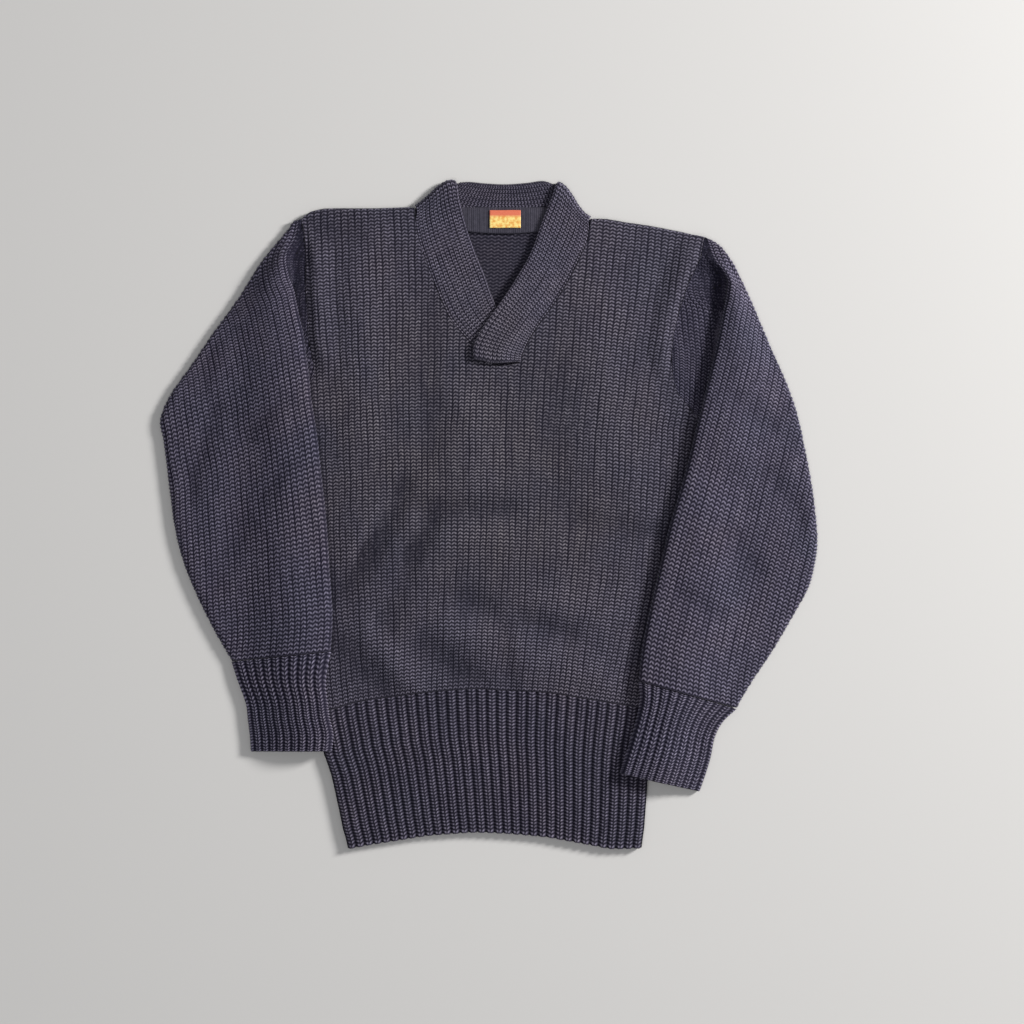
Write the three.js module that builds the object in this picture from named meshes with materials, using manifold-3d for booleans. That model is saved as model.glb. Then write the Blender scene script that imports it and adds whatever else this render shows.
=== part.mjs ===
// Heavy wool pullover with a crossed shawl collar, laid flat on its back with both sleeves folded
// down. Millimetres, +Z up, origin on the surface under the middle of the garment, +Y to the neck.
import * as THREE from 'three';
import { mergeVertices } from 'three/addons/utils/BufferGeometryUtils.js';
import Module from 'manifold-3d';

const wasm = await Module();
wasm.setup();

// Cloth
const cloth = 3.0; // knitted wall of the body, sleeves and bands
const collarCloth = 3.5; // the collar is knitted tighter and thicker
const tapeCloth = 1.0;
const labelCloth = 0.8;
const seamGap = 0.4;
const layerGap = 0.4;

// Heights of the middle of each wall above the surface
const floorWall = cloth / 2; // back panel and the undersides of the sleeves
const frontFloor = cloth + layerGap; // underside of the front panel
const frontWall = frontFloor + cloth / 2; // front panel, and the sleeve cloth sewn to it
const overBody = 9.1; // sleeve cloth that lies on the front panel or its band
const innerFold = 3; // radius of the middle of the cloth in a sleeve's full inner fold
const outerFold = 1.75; // the same in its pressed outer fold
const foldTop = overBody + 2 * innerFold; // upper cloth of a sleeve at its inner fold
const outerFoldTop = floorWall + 2 * outerFold; // upper cloth of a sleeve at its outer fold
const innerReach = cloth / 2 + innerFold; // from a fold's edge to the centre of its turn
const outerReach = cloth / 2 + outerFold;

// Ribs
const bandRibs = 34; // across the front of the waistband
const cuffRibs = 10; // across the upper side of a cuff
const ribHeight = 0.9;
const cuffPuff = 1.6; // fullness of a cuff's upper side
const ribValley = 0.3; // share of a rib's width that is valley

const wool = new THREE.MeshStandardMaterial({ color: 0x3f3d47, roughness: 0.95, metalness: 0 });
const ribbedWool = new THREE.MeshStandardMaterial({ color: 0x3a3842, roughness: 0.95, metalness: 0 });
const tapeWool = new THREE.MeshStandardMaterial({ color: 0x34333d, roughness: 0.9, metalness: 0 });
const labelWeave = new THREE.MeshStandardMaterial({ color: 0xb8893a, roughness: 0.7, metalness: 0 });

// A row of each table becomes an object with the named columns.
function table(columns, ...rows) {
  return rows.map((row) => Object.fromEntries(columns.map((name, i) => [name, row[i]])));
}

// Body edge below the armholes
const bodySides = table(
  ['y', 'left', 'right'],
  [88, -200, 216],
  [36, -198, 213],
  [-18, -197, 210],
  [-70, -195, 205],
  [-107, -192, 198],
  [-143, -189, 190],
  [-175, -186, 183],
  [-204, -182.5, 177],
);

// Seam between the body and the waistband, and the band's lower edge, left to right
const bandTop = table(
  ['x', 'y'],
  [-182, -205], [-165, -205.5], [-143, -199], [-122, -195], [-99, -192], [-68, -188], [-32, -185],
  [-14, -184], [23, -186], [61, -188], [99, -194], [136, -200], [156, -203], [177, -205.5],
);
const bandBottom = table(
  ['x', 'y'],
  [-148, -350.5], [-122, -346], [-93, -341.5], [-65, -337], [-32, -334.5], [-14, -333.5],
  [23, -335], [61, -338.5], [89, -343.5], [108, -347], [127, -350.5], [160, -350],
);
const bandSides = table(
  ['down', 'left', 'right'],
  [0, -182, 177],
  [0.33, -172.5, 169.5],
  [0.48, -165, 166.5],
  [0.68, -158.5, 164.5],
  [0.86, -153, 162.5],
  [1, -148, 160],
);

// Shoulder edges from the collar out to the sleeve
const shoulders = table(
  ['leftX', 'leftY', 'rightX', 'rightY'],
  [-88, 321, 122, 309],
  [-114, 320, 145, 305],
  [-143, 320, 173, 301],
  [-172, 320, 197, 296],
  [-186, 317.5, 213, 292.5],
);

// Sleeves, from the shoulder to the cuff. seam is the armhole, fold the inner folded edge and edge
// the outer one. fold 0 has no inner fold, 1 a step, 2 a pleat that turns under it by pleat.
// under is how far the sleeve lies on the body, tube 1 where it has left the armhole.
const sleeveColumns = [
  'seamX', 'seamY', 'foldX', 'foldY', 'edgeX', 'edgeY', 'fold', 'pleat', 'under', 'tube', 'puff',
];
const sleeveRight = table(
  sleeveColumns,
  [-197, 309, -200, 307, -205, 307, 0, 0, 0, 0, 0],
  [-195, 297, -209, 295, -213, 296, 0, 0, 0, 0, 0],
  [-193, 284, -214, 284, -224, 283, 0.15, 0, 0, 0, 0.5],
  [-192, 268, -211, 268, -242, 260, 0.8, 0, 0, 0, 1.5],
  [-192, 250, -207, 250, -264, 225, 1.3, 2, 0, 0, 2.5],
  [-192, 232, -203, 232, -288, 192, 2, 7, 0, 0, 3],
  [-190, 208, -198, 208, -314, 154, 2, 10, 0, 0, 3.4],
  [-190, 186, -193, 186, -333, 127, 2, 13, 2, 0, 3.4],
  [-185, 163, -190, 163, -345, 100, 2, 17, 6, 0, 3.4],
  [-184, 141, -187, 141, -342, 77, 2, 22, 11, 0, 3.4],
  [-198, 119, -185, 119, -339, 54, 2, 26, 15, 0, 3.4],
  [-200, 88, -180, 88, -335, 22, 2, 26, 22, 1, 3.4],
  [-198, 36, -174, 36, -330, -15, 2, 26, 26, 1, 3.4],
  [-197, -12, -169, -12, -321, -51, 2, 26, 29, 1, 3.4],
  [-195, -61, -166, -61, -306, -88, 2, 26, 30, 1, 3.2],
  [-192, -107, -163, -107, -288, -124, 2, 26, 29, 1, 2.8],
  [-189, -144, -165, -144, -270, -155, 2, 26, 25, 1, 2.2],
);
const sleeveLeft = table(
  sleeveColumns,
  [226, 290, 229, 288, 234, 287, 0, 0, 0, 0, 0],
  [224, 280, 240, 280, 245, 279, 0, 0, 0, 0, 0],
  [222, 268, 249, 266, 257, 262, 0.15, 0, 0, 0, 0.5],
  [216, 256, 250, 250, 267, 242, 0.8, 0, 0, 0, 1],
  [208, 238, 248, 233, 280, 213, 1.3, 2, 0, 0, 2],
  [202, 220, 245, 213, 295, 177, 2, 8, 0, 0, 2.8],
  [195, 195, 240, 187, 311, 141, 2, 12, 0, 0, 3.4],
  [192, 172, 234, 161, 324, 104, 2, 16, 0, 0, 3.4],
  [192, 153, 228, 136, 332, 68, 2, 18, 0, 0, 3.4],
  [197, 128, 222, 111, 338, 37, 2, 20, 0, 0, 3.4],
  [215, 103, 216, 88, 342, 9, 2, 20, 2, 0, 3.4],
  [216, 76, 209, 59, 345, -26, 2, 24, 8, 1, 3.4],
  [213, 35, 200, 26, 342, -53, 2, 26, 17, 1, 3.4],
  [211, -2, 190, -7, 335, -79, 2, 26, 26, 1, 3.4],
  [208, -38, 181, -44, 318, -110, 2, 26, 33, 1, 3.2],
  [203, -82, 171, -87, 298, -144, 2, 26, 37, 1, 3],
  [192, -133, 161, -134, 276, -177, 2, 26, 36, 1, 2.6],
  [184, -175, 156, -175, 260, -204, 2, 26, 31, 1, 2.2],
);

// Cuffs, from the sleeve to the hand
const cuffColumns = ['foldX', 'foldY', 'edgeX', 'edgeY', 'under'];
const cuffRight = table(
  cuffColumns,
  [-165, -145.5, -270, -156.5, 25],
  [-170.5, -173, -264, -175, 18],
  [-169, -196, -255.5, -199, 16],
  [-167, -213, -253, -217, 15],
  [-163, -231, -251, -233, 15],
  [-164.5, -248.5, -250, -249.5, 12],
);
const cuffLeft = table(
  cuffColumns,
  [156, -176.5, 259.5, -206, 31],
  [158, -194, 245.5, -219, 26],
  [154.5, -214, 237, -235, 25],
  [147, -240, 233, -255, 29],
  [140, -262, 228, -272, 34],
  [137, -271.5, 221, -291.5, 36],
);

// Collar, one band sewn to the neck edge. seam is its sewn edge and rim its free edge, lift the
// height of the middle of its cloth. The lapels run from the shoulder folds to the crossing.
const collarColumns = ['seamX', 'seamY', 'rimX', 'rimY', 'seamLift', 'rimLift'];
const leftLapel = table(
  collarColumns,
  [8, 158, 21, 178, 5.15, 5.15],
  [-4, 167, 18, 193, 5.15, 5.15],
  [-17, 178, 14, 206, 5.15, 5.2],
  [-28, 189, 8, 217, 5.15, 5.4],
  [-40, 204, 2, 231, 5.15, 5.6],
  [-48, 220, -3, 246, 5.15, 6],
  [-57, 242, -12, 268, 5.2, 6.6],
  [-66, 266, -20, 289, 5.3, 7],
  [-73, 287, -26, 309, 5.5, 7],
  [-76.5, 308, -31, 330, 5.6, 7.2],
  [-76, 323, -34, 347, 5.6, 5.7],
);
const collarBack = table(
  collarColumns,
  [-76, 323, -34, 347, 1.75, 1.75],
  [-54, 312, -23, 348, 1.75, 1.75],
  [-25, 305.5, -5, 346.5, 1.75, 1.75],
  [16, 302.5, 17, 345.5, 1.75, 1.75],
  [56, 303.5, 40, 347, 1.75, 1.75],
  [86, 307.5, 57, 349, 1.75, 1.75],
  [107, 313, 71, 346.5, 1.75, 1.75],
);
const rightLapel = table(
  collarColumns,
  [107, 313, 71, 346.5, 5.6, 5.7],
  [105, 297, 65.5, 332, 5.6, 7.2],
  [101, 281, 59.5, 317, 5.5, 7],
  [94, 266, 53, 300, 5.3, 7],
  [86, 250, 47, 282, 5.2, 7],
  [77, 234, 39, 265, 5.15, 7.2],
  [66, 217, 29, 248, 5.15, 8],
  [54, 201, 19, 232, 5.15, 8.8],
  [44, 186, 5, 212, 5.15, 9.2],
  [37, 173, -10, 190, 5.15, 9.4],
  [33.5, 165, -17, 173, 5.15, 9.5],
  [32, 161.5, -16.5, 161, 5.15, 9.5],
);
const collarEndBulge = 6; // the square end of the upper lapel bows out by this much
const lapelRise = [0.05, 0.34]; // shares of the width between which the upper lapel climbs

const tape = { left: -33, right: 64, top: 321, sideBottom: 297, middleBottom: 293.5, floor: 3.9 };
const label = { x: 17, y: 308.5, width: 32.5, height: 18.5, floor: 5.2, corner: 0.6 };

// Soft folds of the front panel. depth under 0 is a ridge.
const frontFolds = table(
  ['x1', 'y1', 'x2', 'y2', 'width', 'depth'],
  [-93, 24, -125, -38, 13, 2.2],
  [-125, -38, -150, -78, 12, 2.2],
  [-62, -12, -82, -40, 12, 2.0],
  [-82, -40, -110, -115, 13, 2.0],
  [-70, 6, 14, 6, 11, 1.6],
  [-24, -88, -6, -96, 14, 1.6],
  [40, -110, 82, -124, 12, 1.6],
  [-64, -140, -16, -172, 14, 1.8],
  [14, -120, 23, -188, 10, 1.4],
  [92, -6, 172, -18, 13, 1.4],
  [-152, -140, -104, -192, 15, 2.0],
  [-62, 220, -60, 60, 16, 1.0],
  [70, 150, 72, 20, 18, 0.8],
  [-170, 300, -150, 296, 16, 1.4],
  [-108, 12, -146, -44, 11, -1.3],
  [-80, -8, -104, -88, 12, -1.3],
  [-46, -24, 6, -22, 15, -1.1],
  [-40, -118, 24, -138, 16, -1.2],
  [62, -92, 118, -98, 18, -1.0],
  [-120, -128, -76, -180, 14, -1.4],
  [-14, 120, -10, 40, 22, -0.8],
  [120, 220, 130, 60, 24, -0.8],
  [-130, 240, -126, 90, 22, -0.8],
  [60, -150, 120, -170, 20, -1.0],
);
const restingLift = 1.6; // the front panel rides this far above the back one between its folds
const mostLift = 3.4;
const armholeRidge = { height: 2.8, crest: 13, end: 36, bottom: 140, top: 300 }; // beside each armhole

// Soft folds across the upper cloth of the sleeves
const sleeveFolds = table(
  ['x1', 'y1', 'x2', 'y2', 'width', 'depth'],
  [-288, 108, -314, 20, 11, 1.6],
  [-219, 114, -252, 82, 9, 1.5],
  [-214, 46, -236, 18, 9, 1.4],
  [-290, 170, -300, 130, 12, 1.0],
  [-262, -20, -282, -70, 13, 1.1],
  [295, 40, 327, -2, 12, 1.4],
  [262, 120, 290, 96, 12, 1.2],
  [252, -20, 282, -60, 12, 1.2],
  [205, -86, 236, -104, 10, 1.2],
);

const clamp = (value, low, high) => Math.min(Math.max(value, low), high);
const smooth = (low, high, value) => {
  const f = clamp((value - low) / (high - low), 0, 1);
  return f * f * (3 - 2 * f);
};
const blend = (a, b, f) => a + (b - a) * f;
const xyz = (x, y, z) => new THREE.Vector3(x, y, z);

// A row between two rows of a table, on a smooth curve through all of its columns.
function rowAt(rows, place) {
  const i = clamp(Math.floor(place), 0, rows.length - 2);
  const f = place - i;
  const [a, b, c, d] = [i - 1, i, i + 1, i + 2].map((k) => rows[clamp(k, 0, rows.length - 1)]);
  const curve = (key) => b[key] + 0.5 * f * (c[key] - a[key]
    + f * (2 * a[key] - 5 * b[key] + 4 * c[key] - d[key]
    + f * (3 * (b[key] - c[key]) + d[key] - a[key])));
  return Object.fromEntries(Object.keys(b).map((key) => [key, curve(key)]));
}

function evenRows(rows, count) {
  return Array.from({ length: count }, (_, i) => rowAt(rows, (i * (rows.length - 1)) / (count - 1)));
}

// Height that a list of folds takes off at a point: a soft trough round each fold's line.
function foldDepth(folds, x, y) {
  let depth = 0;
  for (const fold of folds) {
    const [dx, dy] = [fold.x2 - fold.x1, fold.y2 - fold.y1];
    const length = Math.hypot(dx, dy);
    const along = ((x - fold.x1) * dx + (y - fold.y1) * dy) / length;
    const aside = ((x - fold.x1) * dy - (y - fold.y1) * dx) / length;
    const beyond = Math.max(0, -along, along - length);
    depth += fold.depth * Math.exp(-((aside / fold.width) ** 2) - (beyond / (1.3 * fold.width)) ** 2);
  }
  return depth;
}

// A wall between two grids of points, rows along it and points across it. A tube joins its last
// points to its first.
function wallGeometry(rows, tube = false) {
  const [last, across] = [rows.length - 1, rows[0].outer.length];
  const at = (j, i, inner) => (j * across + (i % across)) * 2 + inner;
  const positions = rows.flatMap((row) => row.outer.flatMap((p, i) => [
    p.x, p.y, p.z, row.inner[i].x, row.inner[i].y, row.inner[i].z]));
  const index = [];
  const quad = (a, b, c, d) => index.push(a, b, c, a, c, d);
  const columns = tube ? across : across - 1;
  for (let i = 0; i < columns; i++) {
    for (let j = 0; j < last; j++) {
      quad(at(j, i, 0), at(j, i + 1, 0), at(j + 1, i + 1, 0), at(j + 1, i, 0));
      quad(at(j, i, 1), at(j + 1, i, 1), at(j + 1, i + 1, 1), at(j, i + 1, 1));
    }
    quad(at(0, i, 0), at(0, i, 1), at(0, i + 1, 1), at(0, i + 1, 0));
    quad(at(last, i, 0), at(last, i + 1, 0), at(last, i + 1, 1), at(last, i, 1));
  }
  if (!tube) {
    for (let j = 0; j < last; j++) {
      quad(at(j, 0, 0), at(j + 1, 0, 0), at(j + 1, 0, 1), at(j, 0, 1));
      quad(at(j + 1, columns, 0), at(j, columns, 0), at(j, columns, 1), at(j + 1, columns, 1));
    }
  }
  return facingOut(positions, index);
}

function facingOut(positions, index) {
  let volume = 0;
  const corner = (k) => xyz(...positions.slice(3 * k, 3 * k + 3));
  for (let i = 0; i < index.length; i += 3) {
    volume += corner(index[i]).dot(corner(index[i + 1]).cross(corner(index[i + 2])));
  }
  const turned = volume < 0 ? index.slice().reverse() : index;
  const geometry = new THREE.BufferGeometry();
  geometry.setAttribute('position', new THREE.Float32BufferAttribute(positions, 3));
  geometry.setIndex(turned);
  return geometry;
}

// A solid of stacked outlines. Each level gives its height and how far its round points move in.
function layeredGeometry(outline, levels) {
  const count = outline.length;
  const inward = outline.map((p, i) => {
    const [before, after] = [outline[(i + count - 1) % count], outline[(i + 1) % count]];
    const way = new THREE.Vector2(after.x - before.x, after.y - before.y).normalize();
    return { x: -way.y, y: way.x };
  });
  const positions = levels.flatMap(({ z, inset }) => outline.flatMap((p, i) => [
    p.x + inward[i].x * inset * p.round, p.y + inward[i].y * inset * p.round, z]));
  const index = [];
  for (let level = 0; level < levels.length - 1; level++) {
    for (let i = 0; i < count; i++) {
      const [a, b] = [level * count + i, level * count + ((i + 1) % count)];
      index.push(a, b, b + count, a, b + count, a + count);
    }
  }
  const top = (levels.length - 1) * count;
  const flat = outline.map((p) => new THREE.Vector2(p.x, p.y));
  for (const [a, b, c] of THREE.ShapeUtils.triangulateShape(flat, [])) {
    const turn = flat[b].clone().sub(flat[a]).cross(flat[c].clone().sub(flat[a]));
    const [p, q] = turn > 0 ? [b, c] : [c, b];
    index.push(top + a, top + p, top + q, a, q, p);
  }
  return facingOut(positions, index);
}

function toManifold(geometry) {
  const merged = mergeVertices(geometry, 1e-4);
  return new wasm.Manifold(new wasm.Mesh({
    numProp: 3,
    vertProperties: merged.attributes.position.array,
    triVerts: new Uint32Array(merged.index.array),
  }));
}

function toGeometry(solid) {
  const mesh = solid.getMesh();
  const geometry = new THREE.BufferGeometry();
  geometry.setAttribute('position', new THREE.Float32BufferAttribute(mesh.vertProperties, 3));
  geometry.setIndex(Array.from(mesh.triVerts));
  return geometry;
}

// Everything between a height field and a flat plane above or below it.
function besideSurface(height, area, cell, plane) {
  const [nx, ny] = [Math.ceil((area.right - area.left) / cell), Math.ceil((area.top - area.bottom) / cell)];
  const rows = Array.from({ length: ny + 1 }, (_, j) => {
    const y = blend(area.bottom, area.top, j / ny);
    const xs = Array.from({ length: nx + 1 }, (_, i) => blend(area.left, area.right, i / nx));
    return xs.map((x) => xyz(x, y, height(x, y)));
  });
  const count = (nx + 1) * (ny + 1);
  const positions = rows.flat().flatMap((p) => [p.x, p.y, p.z]);
  const index = [];
  const at = (j, i) => j * (nx + 1) + i;
  for (let j = 0; j < ny; j++) {
    for (let i = 0; i < nx; i++) {
      index.push(at(j, i), at(j, i + 1), at(j + 1, i + 1), at(j, i), at(j + 1, i + 1), at(j + 1, i));
    }
  }
  const edge = [
    ...Array.from({ length: nx }, (_, i) => at(0, i)),
    ...Array.from({ length: ny }, (_, j) => at(j, nx)),
    ...Array.from({ length: nx }, (_, i) => at(ny, nx - i)),
    ...Array.from({ length: ny }, (_, j) => at(ny - j, 0)),
  ];
  for (const k of edge) positions.push(positions[3 * k], positions[3 * k + 1], plane);
  edge.forEach((k, n) => {
    const next = (n + 1) % edge.length;
    index.push(k, count + n, edge[next], edge[next], count + n, count + next);
  });
  const centre = positions.length / 3;
  positions.push((area.left + area.right) / 2, (area.bottom + area.top) / 2, plane);
  edge.forEach((k, n) => index.push(centre, count + ((n + 1) % edge.length), count + n));
  return toManifold(facingOut(positions, index));
}

// Cloth on both sides of a line of points, squared to the line and to the sleeve's length.
function thicken(line, length, outerExtra = () => 0) {
  const closed = line.closed;
  const count = line.points.length;
  const sides = { outer: [], inner: [] };
  line.points.forEach((p, i) => {
    const before = line.points[closed ? (i + count - 1) % count : Math.max(i - 1, 0)];
    const after = line.points[closed ? (i + 1) % count : Math.min(i + 1, count - 1)];
    const out = after.clone().sub(before).cross(length).normalize();
    sides.outer.push(p.clone().addScaledVector(out, cloth / 2 + outerExtra(i)));
    sides.inner.push(p.clone().addScaledVector(out, -cloth / 2));
  });
  return sides;
}

// Height of the lower cloth of a sleeve or cuff at a distance from its inner fold: it climbs from
// the surface onto the body's edge.
function lowerWall(distance, under) {
  return blend(overBody, floorWall, smooth(under + 1, under + 17, distance));
}

const foldTurn = [-90, -50, 0, 50, 90]; // degrees round a pressed fold
const upperPoints = 8; // between the turns of the inner and the outer fold

// One section of a sleeve or cuff, as the line in the middle of the cloth.
function sectionFrame(row) {
  const across = xyz(row.edgeX - row.foldX, row.edgeY - row.foldY, 0);
  const width = across.length();
  across.normalize();
  const place = (distance, z) => xyz(row.foldX, row.foldY, 0).addScaledVector(across, distance).setZ(z);
  return { width, place, length: xyz(-across.y, across.x, 0) };
}

// The upper cloth, which sinks from the inner fold to the outer one with some fullness.
function upperWall(row, frame, from) {
  const end = frame.width - outerReach;
  const hold = Math.max(from, blend(row.pleat, row.under, row.tube) + 3);
  const drop = Math.min(45, 0.9 * (end - hold));
  return Array.from({ length: upperPoints }, (_, i) => {
    const f = (i + 1) / (upperPoints + 1);
    const distance = blend(from, end, f);
    const base = blend(foldTop, outerFoldTop, smooth(hold, hold + Math.max(drop, 1), distance));
    const spot = frame.place(distance, 0);
    const fullness = Math.sin(Math.PI * f) ** 0.8 * row.puff;
    const crease = Math.min(foldDepth(sleeveFolds, spot.x, spot.y), 0.8 * fullness);
    return spot.setZ(base + fullness - crease);
  });
}

// The turn of the cloth at the inner fold, from its lower side to its upper one.
function innerTurnOf(frame) {
  return turn(frame, innerReach, overBody + innerFold, -innerFold);
}

// The turn of the cloth at the outer fold, from its upper side to its lower one.
function outerTurnOf(frame) {
  return turn(frame, frame.width - outerReach, floorWall + outerFold, outerFold);
}

function turn(frame, distance, height, radius) {
  return foldTurn.map((angle) => {
    const a = THREE.MathUtils.degToRad(angle);
    return frame.place(distance + radius * Math.cos(a), height - radius * Math.sin(a));
  });
}

function sleeveSection(row) {
  const frame = sectionFrame(row);
  const { place, width } = frame;
  const tubeShare = clamp(row.tube, 0, 1);
  const seam = xyz(row.seamX, row.seamY, frontWall);
  const fold = xyz(row.foldX, row.foldY, 0);
  const outerTurn = outerTurnOf(frame);
  const innerTurn = innerTurnOf(frame);
  const mid = (a, b, f) => a.clone().lerp(b, f);
  // Straight from the seam to the outer fold, as at the top of the shoulder
  const steps = 2 + 3 + foldTurn.length + upperPoints;
  const plain = Array.from({ length: steps }, (_, i) => mid(seam, outerTurn[0], i / steps));
  // Up over a step where the inner fold starts
  const rise = [0, 0, 0.05, 0.25, 0.45, 0.6, 0.72, 0.84, 0.93, 1];
  const step = [0, 0.35, 0.7, 0.85, 0.95].map((f) => mid(seam, fold, f))
    .concat([0.005, 0.03, 0.06, 0.1, 0.15].map((f) => place(f * (width - outerReach), 0)))
    .map((p, i) => p.setZ(blend(frontWall, foldTop, rise[i])));
  step.push(...upperWall(row, frame, 0.15 * (width - outerReach)));
  // Under the inner fold by the pleat, back, and over it
  const turnIn = [[-1.2, frontWall], [0, (frontWall + overBody) / 2], [-1.2, overBody]]
    .map(([distance, z]) => place(row.pleat + distance, z));
  const upper = [...innerTurn, ...upperWall(row, frame, innerReach)];
  const pleated = [seam, mid(seam, turnIn[0], 0.5), ...turnIn, ...upper];
  // Below the armhole: along the underside, up onto the body's edge and over the inner fold
  const underSeam = row.under + 21;
  const climb = [underSeam, row.under + 15, row.under + 10, row.under + 4, 0.5 * row.under + innerReach]
    .map((distance) => place(distance, lowerWall(distance, row.under)));
  const tube = [...climb, ...upper];
  const foldShare = clamp(row.fold, 0, 2);
  const points = plain.map((p, i) => {
    const raised = foldShare < 1 ? mid(p, step[i], foldShare) : mid(step[i], pleated[i], foldShare - 1);
    return mid(raised, tube[i], tubeShare);
  });
  // Back underneath to the back panel, or to the other side of the underarm seam
  const backSeam = seam.clone().setZ(floorWall);
  const lowerEnd = mid(backSeam, place(underSeam + seamGap, floorWall), Math.min(2 * tubeShare, 1));
  points.push(...outerTurn);
  const lowerStart = outerTurn[outerTurn.length - 1];
  for (let i = 1; i <= 5; i++) points.push(mid(lowerStart, lowerEnd, i / 5));
  return thicken({ points, closed: false }, frame.length);
}

const armholeRows = 10; // rows of a sleeve table down to the underarm
function sleevePlaces(rows) {
  const places = [];
  for (let place = 0; place < armholeRows + 1; place += 0.5) places.push(place);
  for (let place = armholeRows + 1; place < rows.length; place++) places.push(place);
  return places;
}

function sleeveGeometry(rows) {
  return wallGeometry(sleevePlaces(rows).map((place) => sleeveSection(rowAt(rows, place))));
}

// The armhole edge of a body panel runs along its sleeve's seam, a gap away from it.
function armhole(rows, away) {
  const edge = [];
  for (let place = 0; place <= armholeRows; place += 0.5) {
    const row = rowAt(rows, place);
    edge.push({ x: row.seamX + away * seamGap, y: row.seamY, round: 0 });
  }
  return edge;
}

function cuffSection(row) {
  const frame = sectionFrame(row);
  const { place, width } = frame;
  const span = width - innerReach - outerReach;
  const ribShares = [0, ribValley, 1 - ribValley];
  const upper = [];
  const raised = [];
  for (let rib = 0; rib < cuffRibs; rib++) {
    for (const share of ribShares) {
      const f = (rib + share) / cuffRibs;
      const distance = innerReach + f * span;
      const sunk = smooth(row.under + 3, Math.max(row.under + 41, width - outerReach), distance);
      upper.push(place(distance, blend(foldTop, outerFoldTop, sunk) + cuffPuff * Math.sin(Math.PI * f)));
      raised.push(share > 0);
    }
  }
  const innerTurn = innerTurnOf(frame).slice(0, -1);
  const outerTurn = outerTurnOf(frame);
  const lower = [0.3, 0.6].map((f) => blend(width - outerReach, row.under + 17, f))
    .concat([17, 12, 8, 3].map((step) => row.under + step))
    .map((distance) => place(distance, lowerWall(distance, row.under)));
  const points = [...innerTurn, ...upper, ...outerTurn, ...lower];
  const firstRib = innerTurn.length;
  const extra = (i) => (raised[i - firstRib] ? ribHeight : 0);
  return thicken({ points, closed: true }, frame.length, extra);
}

function cuffGeometry(rows) {
  return wallGeometry(evenRows(rows, 5).map(cuffSection), true);
}

// Distance of a point from the nearer side edge of the front, which keeps the sleeves' cloth clear.
function sideClearance(x, y) {
  const rows = [...bodySides].reverse();
  const i = clamp(rows.findIndex((row) => row.y > y), 1, rows.length - 1);
  const f = clamp((y - rows[i - 1].y) / (rows[i].y - rows[i - 1].y), 0, 1);
  const left = blend(rows[i - 1].left, rows[i].left, f);
  const right = blend(rows[i - 1].right, rows[i].right, f);
  return Math.min(x - left, right - x);
}

function frontLift(x, y) {
  const calm = smooth(26, 62, sideClearance(x, y)) * smooth(-204, -176, y);
  const neck = smooth(24, 60, Math.hypot(x + 5, y - 158));
  const folded = clamp(restingLift - foldDepth(frontFolds, x, y), 0, mostLift) * calm * neck;
  return Math.max(folded, armholeLift(x, y));
}

// A soft ridge of the front beside each armhole, where the sleeve's weight draws the cloth up.
function armholeLift(x, y) {
  const { height, crest, end, bottom, top } = armholeRidge;
  const away = Math.min(x - seamAt(sleeveRight, y), seamAt(sleeveLeft, y) - x);
  const across = smooth(0, crest, away) * (1 - smooth(crest, end, away));
  return height * across * smooth(bottom, bottom + 35, y) * (1 - smooth(top - 35, top, y));
}

// Where the armhole seam of a sleeve lies at a height of the picture.
function seamAt(rows, y) {
  const i = clamp(rows.findIndex((row) => row.seamY < y), 1, armholeRows);
  const f = clamp((rows[i - 1].seamY - y) / (rows[i - 1].seamY - rows[i].seamY), 0, 1);
  return blend(rows[i - 1].seamX, rows[i].seamX, f);
}

function bodyOutline(neck, armholeLeft, armholeRight) {
  const edge = (x, y, round) => ({ x, y, round });
  const waistSeam = Array.from({ length: bandRibs + 1 }, (_, i) => bandPoint(i / bandRibs, 0));
  return [
    ...shoulders.map((row) => edge(row.leftX, row.leftY, 1)),
    ...armholeLeft,
    ...bodySides.map((row) => edge(row.left, row.y, 1)),
    ...waistSeam.map((p) => edge(p.x, p.y + seamGap, 0)),
    ...bodySides.map((row) => edge(row.right, row.y, 1)).reverse(),
    ...armholeRight.reverse(),
    ...shoulders.map((row) => edge(row.rightX, row.rightY, 1)).reverse(),
    ...neck,
  ];
}

// Neck edge of a panel beside the collar's seam, from the wearer's left shoulder round to the right.
function neckEdge(rows, awayX, awayY) {
  return rows.map((row) => ({ x: row.seamX + awayX, y: row.seamY + awayY, round: 0 }));
}

function frontGeometry() {
  const neck = [
    ...neckEdge(rightLapel.slice(0, -1), seamGap + 0.3, 0),
    { x: 32.7, y: 157.5, round: 0 },
    { x: 8, y: 154, round: 0 },
    ...neckEdge(leftLapel.slice(1), -seamGap - 0.3, -0.3),
  ];
  const outline = bodyOutline(neck, armhole(sleeveRight, 1), armhole(sleeveLeft, -1));
  const edgeLevels = [
    { z: frontFloor, inset: 0 },
    { z: frontFloor + 1.2, inset: 0.4 },
    { z: frontFloor + 2.3, inset: 1.4 },
    { z: frontFloor + 3, inset: 3.2 },
    { z: 14, inset: 8 },
  ];
  const area = { left: -205, right: 235, bottom: -212, top: 328 };
  const under = besideSurface((x, y) => frontFloor + cloth + frontLift(x, y), area, 19, -20);
  const over = besideSurface((x, y) => frontFloor + frontLift(x, y), area, 28, 40);
  return toGeometry(toManifold(layeredGeometry(outline, edgeLevels)).intersect(under).intersect(over));
}

function backGeometry() {
  const neck = neckEdge([...collarBack].reverse(), 0, -seamGap);
  const outline = bodyOutline(neck, armhole(sleeveRight, 1), armhole(sleeveLeft, -1));
  return layeredGeometry(outline, [
    { z: 0, inset: 2.4 },
    { z: 0.9, inset: 0.7 },
    { z: cloth, inset: 0 },
  ]);
}

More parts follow.
